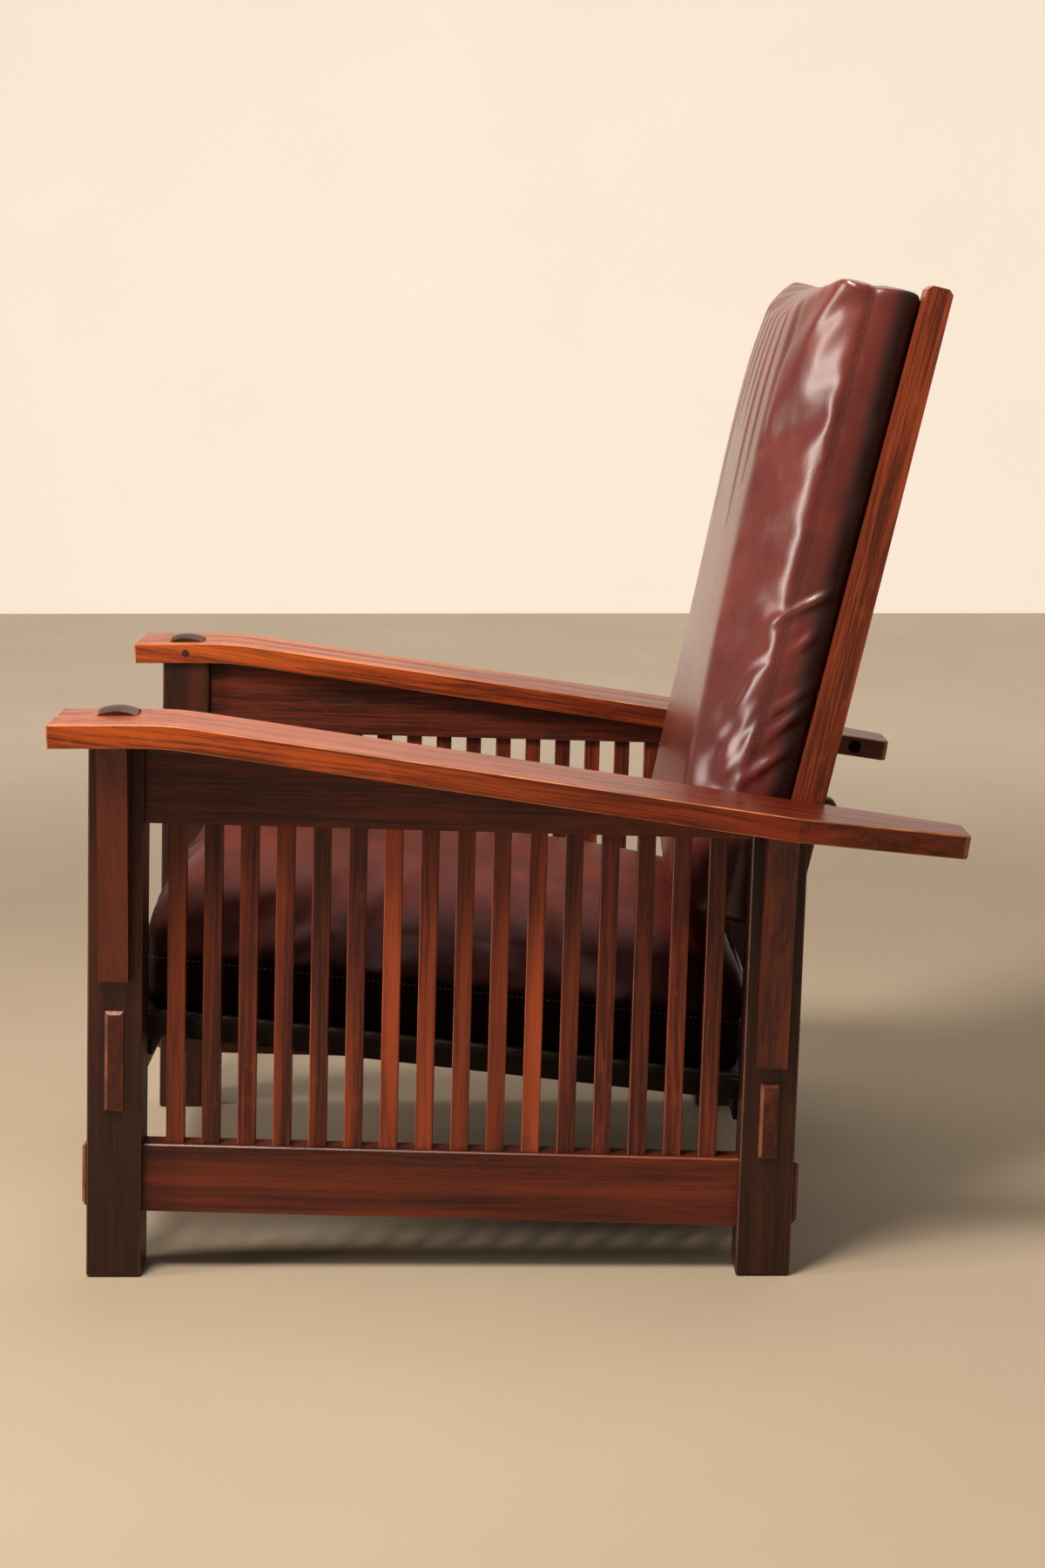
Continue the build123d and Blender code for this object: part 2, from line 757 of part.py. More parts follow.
# Pieces made for the sitter's left and mirrored to the right
sided = {
    "front_post": front_post,
    "rear_post": rear_post,
    "side_rail": side_rail,
    "arm_apron": arm_apron,
    "spindles": spindles,
    "arm": arm,
    "front_corbel": front_corbel,
    "rear_corbel": rear_corbel,
    "tenon_pin": tenon_pin,
    "pivot_pin": pivot_pin,
    "pivot_plug": pivot_plug,
    "pivot_spacer": pivot_spacer,
    "support_peg": support_peg,
    "back_stile": back_stile,
    "seat_frame_side": seat_frame_side,
}

# Pieces on the middle line
central = {
    "front_seat_rail": front_seat_rail,
    "rear_seat_rail": rear_seat_rail,
    "front_seat_cleat": front_seat_cleat,
    "rear_seat_cleat": rear_seat_cleat,
    "seat_frame_front": seat_frame_front,
    "seat_frame_rear": seat_frame_rear,
    "seat_webbing": seat_webbing,
    "seat_cushion": seat_cushion,
    "back_cushion": back_cushion,
}
central |= {f"back_slat_{number + 1}": slat for number, slat in enumerate(back_slats)}

os.makedirs("parts", exist_ok=True)
for title, piece in central.items():
    piece.part.label = title
    export_step(piece.part, f"parts/{title}.step")
for title, piece in sided.items():
    with BuildPart() as opposite:
        mirror(piece.part, about=Plane.YZ)
    piece.part.label = f"left_{title}"
    opposite.part.label = f"right_{title}"
    export_step(piece.part, f"parts/left_{title}.step")
    export_step(opposite.part, f"parts/right_{title}.step")
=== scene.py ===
"""Looks of the reclining oak armchair: fumed oak, oxblood leather cushions and soft studio light."""

import json
import logging
import math
from dataclasses import dataclass
from enum import Enum

import bpy
import numpy as np
from mathutils import Matrix, Vector

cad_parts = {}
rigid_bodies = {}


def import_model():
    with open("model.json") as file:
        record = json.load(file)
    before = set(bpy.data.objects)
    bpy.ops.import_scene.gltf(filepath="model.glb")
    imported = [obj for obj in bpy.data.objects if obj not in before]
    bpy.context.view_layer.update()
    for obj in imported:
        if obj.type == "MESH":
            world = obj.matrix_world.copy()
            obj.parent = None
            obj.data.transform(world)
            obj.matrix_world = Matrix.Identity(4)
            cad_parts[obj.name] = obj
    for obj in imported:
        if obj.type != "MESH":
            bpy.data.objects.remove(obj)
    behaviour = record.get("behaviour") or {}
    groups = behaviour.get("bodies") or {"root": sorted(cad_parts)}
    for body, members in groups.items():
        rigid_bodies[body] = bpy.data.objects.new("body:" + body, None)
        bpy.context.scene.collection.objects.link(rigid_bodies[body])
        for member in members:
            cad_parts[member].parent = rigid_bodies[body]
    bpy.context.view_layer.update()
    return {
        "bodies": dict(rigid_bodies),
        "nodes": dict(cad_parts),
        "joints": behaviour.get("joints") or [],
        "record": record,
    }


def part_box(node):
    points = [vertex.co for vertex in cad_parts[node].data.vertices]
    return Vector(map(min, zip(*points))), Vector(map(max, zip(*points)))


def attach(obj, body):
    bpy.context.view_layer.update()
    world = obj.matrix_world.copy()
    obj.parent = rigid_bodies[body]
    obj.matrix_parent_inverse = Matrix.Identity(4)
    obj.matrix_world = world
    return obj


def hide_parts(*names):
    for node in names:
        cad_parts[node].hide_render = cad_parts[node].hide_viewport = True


log = logging.getLogger("armchair")

SIDES = ("left", "right")
MM = 0.001

# Angles of the chair's parts, from the CAD source
TILT = math.radians(1.61)
ARM_SLOPE = math.radians(8.6)
BACK_LEAN = math.radians(13.6)
SEAT_PITCH = math.radians(6.66)

# Places of the chair that the cushions have to keep clear of, in metres
PIVOT = (0.0, 0.276213, 0.370948)
RAIL_TOP = 0.303
BACK_FOOT = 0.013
BACK_GAP = 0.002
BACK_FRONT = 0.128

# Distance from one spindle to the next, and a distance that keeps their count positive, in metres
SPINDLE_PITCH = 0.0381
SPINDLE_START = 5.0

# Size and pitch of the stitches, in metres
STITCH_RADIUS = 0.0006
STITCH_LENGTH = 0.0034
STITCH_EASE = 0.0003
STITCH_PITCH = 0.0056

# Side of the floor and backdrop, and the width over which their own glow sets in, in metres
SHEET_SIDE = 24.0
GLOW_WIDTH = 2.5

# Frames that the cushions take to fill
STUFFING_FRAMES = 20

# Bands and gaps of the cushions, in metres: the rim that the seam is read from, the resting face that is held
# while they are filled, the width over which a bulging side is flattened, and the lift off what they rest on
RIM_BAND = 0.012
REST_BAND = 0.004
PRESS_WIDTH = 0.0015
REST_LIFT = 0.0004

# What is held while they are filled: how far out the rim starts, how firmly the resting face is held, and the
# weakest hold that counts
RIM_SHARE = 0.9
REST_HOLD = 0.9
WEAKEST_HOLD = 0.05

# Powers that set how late the dome, the drawn-in waist and the turned edges set in towards a cushion's sides,
# and how strong the turn into the resting face is beside that into the crowned one
DOME_POWER = 2.4
WAIST_POWERS = (3, 5)
TURN_POWER = 8
HEEL_SHARE = 0.5

# Painted shade on a cushion: the slope that still counts as its side, the slopes between which a face stops
# getting painted shade, the share of the shaded band that fades, and how dark a groove's painted shade gets
# at what depth in metres
SIDE_SLOPE = 0.7
PAINTED_SHADE_SLOPES = (0.5, 0.9)
SHADE_FADE = 0.4
GROOVE_PAINTED_SHADE = 0.35
GROOVE_FULL = 0.003

# Half the back cushion's width, in millimetres as its folds are
BACK_HALF_WIDTH = 283.0

# Profile of a fold: how little it fades past the line's own directions, its fade towards the ends, and the
# weights of its ridge and of the wider hollow beside it
FOLD_SPREAD = 0.25
FOLD_FADE = (0.12, 0.76, 1.2)
FOLD_RIDGE = 1.6
FOLD_HOLLOW = (0.6, 2.1)


class Signal:
    """One value on its way through a material, with Python's arithmetic on it."""

    def __init__(self, recipe: "Recipe", socket: bpy.types.NodeSocket) -> None:
        """Keeps the socket and the recipe that it belongs to."""
        self.recipe = recipe
        self.socket = socket

    def __add__(self, other: "Signal | float") -> "Signal":
        """Sum."""
        return self.recipe.maths("ADD", self, other)

    def __sub__(self, other: "Signal | float") -> "Signal":
        """Difference."""
        return self.recipe.maths("SUBTRACT", self, other)

    def __rsub__(self, other: float) -> "Signal":
        """Difference from a plain number."""
        return self.recipe.maths("SUBTRACT", other, self)

    def __mul__(self, other: "Signal | float") -> "Signal":
        """Product."""
        return self.recipe.maths("MULTIPLY", self, other)

    def __truediv__(self, other: "Signal | float") -> "Signal":
        """Quotient."""
        return self.recipe.maths("DIVIDE", self, other)

    __radd__ = __add__
    __rmul__ = __mul__

    def smooth(self, low: float, high: float) -> "Signal":
        """Rises softly from 0 at low to 1 at high.

        Args:
            low: Value that gives 0.
            high: Value that gives 1.

        Returns:
            The eased value.
        """
        settings = {"interpolation_type": "SMOOTHSTEP"}
        inputs = {"Value": self, "From Min": low, "From Max": high}
        return self.recipe.take("ShaderNodeMapRange", settings, inputs, "Result")


class Recipe:
    """A material under construction: a principled shader and the nodes that feed it."""

    def __init__(self, name: str) -> None:
        """Starts a material with a single principled shader.

        Args:
            name: Name of the material.
        """
        self.material = bpy.data.materials.new(name)
        self.material.use_nodes = True
        self.tree = self.material.node_tree
        self.shader = self.tree.nodes["Principled BSDF"]

    def node(self, kind: str, settings: dict, inputs: dict) -> bpy.types.Node:
        """Adds any node, with its settings first and then its sockets.

        Args:
            kind: Node type.
            settings: Properties of the node, or the stops of a colour ramp.
            inputs: Socket names or numbers, with a value or a signal for each.

        Returns:
            The new node.
        """
        made = self.tree.nodes.new(kind)
        for key, value in settings.items():
            if key == "stops":
                for index, (place, colour) in enumerate(value):
                    stops = made.color_ramp.elements
                    stop = stops[index] if index < len(stops) else stops.new(place)
                    stop.position, stop.color = place, (*colour, 1.0)
            else:
                setattr(made, key, value)
        for key, value in inputs.items():
            if isinstance(value, Signal):
                self.tree.links.new(value.socket, made.inputs[key])
            else:
                made.inputs[key].default_value = value
        return made

    def take(self, kind: str, settings: dict, inputs: dict, output: str | int) -> Signal:
        """Adds a node and returns one of its outputs."""
        return Signal(self, self.node(kind, settings, inputs).outputs[output])

    def maths(self, operation: str, *values: "Signal | float") -> Signal:
        """Adds a Math node on up to three values."""
        inputs = dict(enumerate(values))
        return self.take("ShaderNodeMath", {"operation": operation}, inputs, 0)

    def vector(self, operation: str, first: Signal, second: "Signal | tuple") -> Signal:
        """Adds a Vector Math node on two vectors."""
        inputs = {0: first, 1: second}
        return self.take("ShaderNodeVectorMath", {"operation": operation}, inputs, 0)

    def mix(self, share: "Signal | float", low: "Signal | tuple", high: "Signal | tuple") -> Signal:
        """Mixes two colours.

        Args:
            share: 0 gives low and 1 gives high.
            low: First colour.
            high: Second colour.

        Returns:
            The mixed colour.
        """
        settings = {"data_type": "RGBA"}
        inputs = {0: share, 6: _rgba(low), 7: _rgba(high)}
        return self.take("ShaderNodeMix", settings, inputs, 2)

    def shade(self, colour: Signal, factor: Signal) -> Signal:
        """Multiplies a colour by a grey value."""
        return self.take("ShaderNodeVectorMath", {"operation": "SCALE"}, {0: colour, 3: factor}, 0)

    def noise(self, place: Signal, stretch: tuple, detail: float, roughness: float = 0.55) -> Signal:
        """Noise whose grains are as many per metre as stretch says.

        Args:
            place: Where the pattern is read.
            stretch: Grains per metre along x, y and z.
            detail: Octaves of detail.
            roughness: Strength of the finer octaves.

        Returns:
            The noise, from 0 to 1 and mostly near 0.5.
        """
        at = self.vector("MULTIPLY", place, stretch)
        inputs = {"Vector": at, "Scale": 1.0, "Detail": detail, "Roughness": roughness}
        return self.take("ShaderNodeTexNoise", {}, inputs, 0)

    def place(self, turn: tuple = (0, 0, 0)) -> Signal:
        """Object coordinates, turned into a piece's own directions."""
        coordinates = self.take("ShaderNodeTexCoord", {}, {}, "Object")
        return self.take("ShaderNodeMapping", {}, {"Vector": coordinates, "Rotation": turn}, 0)

    def parts(self, vector: Signal) -> list[Signal]:
        """The x, y and z of a vector."""
        made = self.node("ShaderNodeSeparateXYZ", {}, {0: vector})
        return [Signal(self, made.outputs[index]) for index in range(3)]

    def bump(self, height: Signal, strength: float, distance: float) -> Signal:
        """Turns a height into a bumped normal."""
        inputs = {"Height": height, "Strength": strength, "Distance": distance}
        return self.take("ShaderNodeBump", {}, inputs, 0)

    def finish(self, **sockets: "Signal | float | tuple") -> bpy.types.Material:
        """Sets or links the shader's sockets.

        Args:
            sockets: Socket names with underscores for spaces, each with a value or a signal.

        Returns:
            The finished material.
        """
        for key, value in sockets.items():
            socket = self.shader.inputs[key.replace("_", " ")]
            if isinstance(value, Signal):
                self.tree.links.new(value.socket, socket)
            else:
                socket.default_value = _rgba(value) if isinstance(value, tuple) else value
        return self.material


def _rgba(colour: "Signal | tuple") -> "Signal | tuple":
    """A colour with its alpha, unless it is a signal."""
    return colour if isinstance(colour, Signal) or len(colour) == 4 else (*colour, 1.0)


class Grain(Enum):
    """The way that a board's grain runs, as the turn that lays it along local z."""

    UPRIGHT = (TILT, 0.0, 0.0)
    DEEP = (math.pi / 2 + TILT, 0.0, 0.0)
    ARM = (math.pi / 2 + ARM_SLOPE, 0.0, 0.0)
    ACROSS = (0.0, -math.pi / 2, 0.0)
    BACK = (BACK_LEAN, 0.0, 0.0)
    BACK_ACROSS = (BACK_LEAN, -math.pi / 2, 0.0)
    SEAT = (math.pi / 2 + SEAT_PITCH, 0.0, 0.0)


@dataclass(frozen=True)
class Oak:
    """Oak under an old, rubbed finish, its edges lightened partly as painted highlight.

    Attributes:
        name: Name of the material.
        grain: The way that the grain runs.
        dark: Colour of the dark streaks and pores.
        body: Main colour.
        light: Colour of the light streaks.
        worn_edge_and_highlight: Colour of rubbed edges, partly a painted highlight.
        gloss: Roughness of the finish.
        edge_wear_and_highlight: How much of each edge is rubbed and lightened, partly as painted highlight.
        contrast: Strength of the streaks.
        fade: Nothing, or a start and an end along the chair's depth and the colour shift between them,
            painted light and shade.
        each: How far the boards of a row differ in lightness.
    """

    name: str
    grain: Grain
    dark: tuple
    body: tuple
    light: tuple
    worn_edge_and_highlight: tuple
    gloss: float = 0.36
    edge_wear_and_highlight: float = 0.6
    contrast: float = 1.0
    fade: tuple = ()
    each: float = 0.0

    def material(self) -> bpy.types.Material:
        """Mixes the finish.

        Returns:
            The finished material.
        """
        mixed = Recipe(self.name)
        here = mixed.place(turn=self.grain.value)
        sway = mixed.noise(here, (5, 5, 1.6), 2)
        bend = mixed.take("ShaderNodeCombineXYZ", {}, {0: sway * 0.035, 1: sway * 0.03}, 0)
        drift = mixed.vector("ADD", here, bend)
        streaks = mixed.noise(drift, (240, 240, 6.5), 5, 0.7)
        bands = mixed.noise(drift, (34, 34, 1.1), 3)
        pores = mixed.noise(here, (620, 620, 14), 2).smooth(0.56, 0.70)
        flecks = mixed.noise(here, (260, 60, 32), 2).smooth(0.60, 0.72)
        cloud = mixed.noise(here, (3.2, 3.2, 1.1), 2)
        spread = 0.13 / self.contrast
        stripe = (streaks * 0.70 + bands * 0.30).smooth(0.5 - spread, 0.5 + spread)
        colour = mixed.mix(stripe, self.dark, self.body)
        pale = (bands * 0.5 + cloud * 0.5).smooth(0.5, 0.66) * 0.75
        colour = mixed.mix(pale, colour, self.light)
        colour = mixed.mix(pores * 0.55, colour, self.dark)
        colour = mixed.mix(flecks * 0.16, colour, self.light)
        # Painted light and shade: the colour shifts along the chair's depth.
        if self.fade:
            start, end, shift = self.fade
            depth = mixed.parts(mixed.place())[1]
            settings = {"data_type": "RGBA", "blend_type": "MULTIPLY"}
            shifted = mixed.take("ShaderNodeMix", settings, {0: 1.0, 6: colour, 7: _rgba(shift)}, 2)
            colour = mixed.mix(depth.smooth(start, end), colour, shifted)
        if self.each:
            _, depth, height = mixed.parts(mixed.place())
            row = depth - height * math.tan(TILT) + SPINDLE_START
            number = mixed.maths("FLOOR", row / SPINDLE_PITCH)
            settings = {"noise_dimensions": "1D"}
            chance = mixed.take("ShaderNodeTexWhiteNoise", settings, {"W": number}, 0)
            colour = mixed.shade(colour, 1.0 - self.each + chance * (2 * self.each))
        colour = mixed.shade(colour, 0.82 + cloud * 0.36)
        facing = mixed.take("ShaderNodeTexCoord", {}, {}, "Normal")
        inputs = {"Vector": facing, "Rotation": self.grain.value}
        turned = mixed.take("ShaderNodeMapping", {"vector_type": "NORMAL"}, inputs, 0)
        sides = [mixed.maths("ABSOLUTE", part) for part in mixed.parts(turned)]
        flat = mixed.maths("MAXIMUM", mixed.maths("MAXIMUM", sides[0], sides[1]), sides[2])
        # Edges lightened as rubbed wear and partly as painted highlight of light catching them.
        rub = mixed.noise(here, (34, 34, 12), 3).smooth(0.40, 0.62)
        edge = (1.0 - flat.smooth(0.86, 0.985)) * (0.35 + rub * 0.65) * self.edge_wear_and_highlight
        colour = mixed.mix(edge, colour, self.worn_edge_and_highlight)
        rough = self.gloss + (1.0 - stripe) * 0.05 + pores * 0.14 + cloud * 0.10 - 0.05
        relief = streaks * 0.35 - pores * 0.8 + mixed.noise(here, (40, 40, 7), 2) * 0.5
        return mixed.finish(
            Base_Color=colour,
            Roughness=rough,
            Specular_IOR_Level=0.3,
            Coat_Weight=0.05,
            Coat_Roughness=0.2,
            Normal=mixed.bump(relief, 0.35, 0.0006),
        )


@dataclass(frozen=True)
class Leather:
    """Glossy hide with fine grain and soft mottling, with painted shade in its folds, grooves and lower
    sides.

    Attributes:
        name: Name of the material.
        hide: Main colour.
        mottle_and_shade: Darker colour of the mottling, and the colour of the painted shade in folds, grooves
            and lower sides.
        gloss: Roughness of the surface.
        shine: Strength of its reflections.
    """

    name: str
    hide: tuple
    mottle_and_shade: tuple
    gloss: float = 0.30
    shine: float = 0.5

    def material(self) -> bpy.types.Material:
        """Mixes the finish.

        Returns:
            The finished material.
        """
        mixed = Recipe(self.name)
        here = mixed.place()
        mottle = mixed.noise(here, (9, 9, 9), 4, 0.6)
        fine = mixed.noise(here, (60, 60, 60), 3)
        inputs = {"Vector": here, "Scale": 620.0}
        pebble = mixed.take("ShaderNodeTexVoronoi", {"feature": "DISTANCE_TO_EDGE"}, inputs, 0)
        crumple = mixed.noise(here, (26, 26, 26), 4, 0.62)
        leaned = mixed.place(turn=Grain.BACK.value)
        drawn = mixed.noise(leaned, (34, 34, 2.6), 4, 0.6)
        facing = mixed.take("ShaderNodeTexCoord", {}, {}, "Normal")
        forward = mixed.parts(facing)[1] * -1.0
        drawn = drawn * forward.smooth(0.55, 0.93)
        colour = mixed.mix(mottle.smooth(0.36, 0.66), self.mottle_and_shade, self.hide)
        colour = mixed.shade(colour, 0.88 + fine * 0.24)
        # Painted shade: the hollow attribute darkens the hide, roughens it and dulls its coat in folds,
        # grooves and lower sides.
        hollow = mixed.take("ShaderNodeAttribute", {"attribute_name": "hollow"}, {}, "Fac")
        colour = mixed.mix(hollow * 0.85, colour, self.mottle_and_shade)
        colour = mixed.shade(colour, 1.0 - hollow * 0.86)
        rough = self.gloss + (mottle - 0.5) * 0.12 + (fine - 0.5) * 0.08 + hollow * 0.14
        relief = crumple * 0.16 + drawn * 0.9 + fine * 0.08 + pebble.smooth(0.0, 0.25) * 0.04
        return mixed.finish(
            Base_Color=colour,
            Roughness=rough,
            Specular_IOR_Level=self.shine,
            Coat_Weight=(1.0 - hollow) * (0.5 * self.shine),
            Coat_Roughness=0.22,
            Normal=mixed.bump(relief, 0.30, 0.003),
        )


@dataclass(frozen=True)
class Plain:
    """A small plain finish, such as steel, thread, webbing or raw wood.

    Attributes:
        name: Name of the material.
        colour: Main colour.
        second: Colour of the mottling.
        rough: Roughness.
        metal: 1 for a metal.
        grains: Grains per metre of the mottling along x, y and z.
    """

    name: str
    colour: tuple
    second: tuple
    rough: float
    metal: float = 0.0
    grains: tuple = (80, 80, 80)

    def material(self) -> bpy.types.Material:
        """Mixes the finish.

        Returns:
            The finished material.
        """
        mixed = Recipe(self.name)
        here = mixed.place()
        mottle = mixed.noise(here, self.grains, 4, 0.6)
        colour = mixed.mix(mottle.smooth(0.35, 0.65), self.colour, self.second)
        rough = self.rough + (mottle - 0.5) * 0.2
        relief = mixed.bump(mottle, 0.25, 0.0006)
        return mixed.finish(Base_Color=colour, Roughness=rough, Metallic=self.metal, Normal=relief)


def dress(node: bpy.types.Object, material: bpy.types.Material) -> None:
    """Gives a CAD piece its finish in every material slot.

    Args:
        node: The piece.
        material: Its finish.
    """
    for slot in node.material_slots:
        slot.link = "OBJECT"
        slot.material = material
    if not node.material_slots:
        node.data.materials.append(material)


def only(thing: bpy.types.Object) -> None:
    """Selects one object alone and makes it active.

    Args:
        thing: The object.
    """
    bpy.ops.object.select_all(action="DESELECT")
    thing.select_set(True)
    bpy.context.view_layer.objects.active = thing


@dataclass
class Woodwork:
    """All the oak of the chair, which keeps its CAD shape and takes a finish piece by piece.

    Attributes:
        nodes: The CAD pieces by name.
        posts: Finish of the four posts.
        rails: Finish of the bottom side rails.
        aprons: Finish of the boards under the arms.
        spindles: Finish of the two rows of spindles.
        corbels: Finish of the long corbels, lighter towards the rear as painted light.
        arms: Finish of the arms, darker towards their rear ends as painted shade.
        back: Finish of the back stiles.
        slats: Finish of the back slats.
        across: Finish of the front and rear seat rails.
        turned: Finish of pegs, plugs, pins and spacers.
        inner: Finish of the wood across the chair that is seldom seen.
        inner_deep: Finish of the seat frame's sides.
        steel: Finish of the pivot pins.
        jute: Finish of the webbing.
    """

    nodes: dict[str, bpy.types.Object]
    posts: Oak = Oak("oak_posts", Grain.UPRIGHT, (0.011, 0.0025, 0.001), (0.030, 0.006, 0.002),
                     (0.060, 0.013, 0.0045), (0.14, 0.04, 0.016))
    rails: Oak = Oak("oak_rails", Grain.DEEP, (0.020, 0.003, 0.0015), (0.068, 0.009, 0.003),
                     (0.15, 0.023, 0.006), (0.22, 0.06, 0.02), contrast=1.3)
    aprons: Oak = Oak("oak_aprons", Grain.DEEP, (0.028, 0.005, 0.002), (0.100, 0.015, 0.005),
                      (0.20, 0.036, 0.010), (0.24, 0.07, 0.024), contrast=1.3)
    spindles: Oak = Oak("oak_spindles", Grain.UPRIGHT, (0.034, 0.005, 0.002), (0.130, 0.019, 0.006),
                        (0.27, 0.045, 0.012), (0.33, 0.08, 0.025), each=0.36, contrast=1.4)
    # The rear corbels are painted lighter than the front ones, as painted light.
    corbels: Oak = Oak("oak_corbels", Grain.UPRIGHT, (0.016, 0.003, 0.0015), (0.050, 0.008, 0.003),
                       (0.10, 0.018, 0.006), (0.20, 0.06, 0.02), fade=(-0.2, 0.2, (1.9, 2.2, 2.2)))
    # The arms are painted darker towards their rear ends, as painted shade.
    arms: Oak = Oak("oak_arms", Grain.ARM, (0.10, 0.015, 0.003), (0.35, 0.056, 0.007),
                    (0.52, 0.11, 0.014), (0.62, 0.22, 0.06), gloss=0.33, edge_wear_and_highlight=0.7, contrast=1.4,
                    fade=(-0.30, 0.40, (0.40, 0.22, 0.26)))
    back: Oak = Oak("oak_back", Grain.BACK, (0.065, 0.010, 0.003), (0.245, 0.042, 0.012),
                    (0.40, 0.085, 0.024), (0.46, 0.14, 0.045), gloss=0.36, contrast=1.3)
    slats: Oak = Oak("oak_slats", Grain.BACK_ACROSS, (0.05, 0.010, 0.004), (0.17, 0.036, 0.012),
                     (0.28, 0.07, 0.022), (0.34, 0.11, 0.04))
    across: Oak = Oak("oak_seat_rails", Grain.ACROSS, (0.022, 0.004, 0.002), (0.075, 0.012, 0.004),
                      (0.15, 0.028, 0.009), (0.22, 0.06, 0.02))
    turned: Oak = Oak("oak_turned", Grain.ACROSS, (0.018, 0.004, 0.002), (0.060, 0.013, 0.005),
                      (0.12, 0.030, 0.011), (0.18, 0.06, 0.024))
    inner: Oak = Oak("inner_frame_wood", Grain.ACROSS, (0.008, 0.003, 0.002), (0.024, 0.009, 0.005),
                     (0.045, 0.017, 0.009), (0.07, 0.03, 0.016), gloss=0.7, contrast=0.7)
    inner_deep: Oak = Oak("inner_side_wood", Grain.SEAT, (0.008, 0.003, 0.002), (0.024, 0.009, 0.005),
                          (0.045, 0.017, 0.009), (0.07, 0.03, 0.016), gloss=0.7, contrast=0.7)
    steel: Plain = Plain("steel_rod", (0.42, 0.41, 0.39), (0.30, 0.28, 0.26), 0.38, metal=1.0,
                         grains=(30, 400, 400))
    jute: Plain = Plain("jute_webbing", (0.13, 0.09, 0.055), (0.085, 0.058, 0.034), 0.9,
                        grains=(500, 500, 500))

    def dress_all(self) -> None:
        """Gives every wooden piece its finish."""
        central = {
            self.across: ("front_seat_rail", "rear_seat_rail"),
            self.inner: ("front_seat_cleat", "rear_seat_cleat", "seat_frame_front", "seat_frame_rear"),
            self.slats: tuple(f"back_slat_{number}" for number in range(1, 6)),
            self.jute: ("seat_webbing",),
        }
        sided = {
            self.posts: ("front_post", "rear_post"),
            self.rails: ("side_rail",),
            self.aprons: ("arm_apron",),
            self.spindles: ("spindles",),
            self.corbels: ("front_corbel", "rear_corbel"),
            self.arms: ("arm",),
            self.back: ("back_stile",),
            self.turned: ("tenon_pin", "pivot_plug", "pivot_spacer", "support_peg"),
            self.inner_deep: ("seat_frame_side",),
            self.steel: ("pivot_pin",),
        }
        for finish, names in sided.items():
            central[finish] = tuple(f"{side}_{name}" for name in names for side in SIDES)
        for finish, names in central.items():
            material = finish.material()
            for name in names:
                dress(self.nodes[name], material)
        log.info("woodwork: %d CAD pieces finished", sum(len(names) for names in central.values()))


@dataclass(frozen=True)
class Fold:
    """A crease in the hide, as a line in the cushion's own directions, in millimetres.

    Attributes:
        start: First end: across, along and out of the cushion.
        end: Second end.
        height: How far the ridge stands out; a negative one is a valley.
        width: Half width of the ridge.
    """

    start: tuple
    end: tuple
    height: float
    width: float


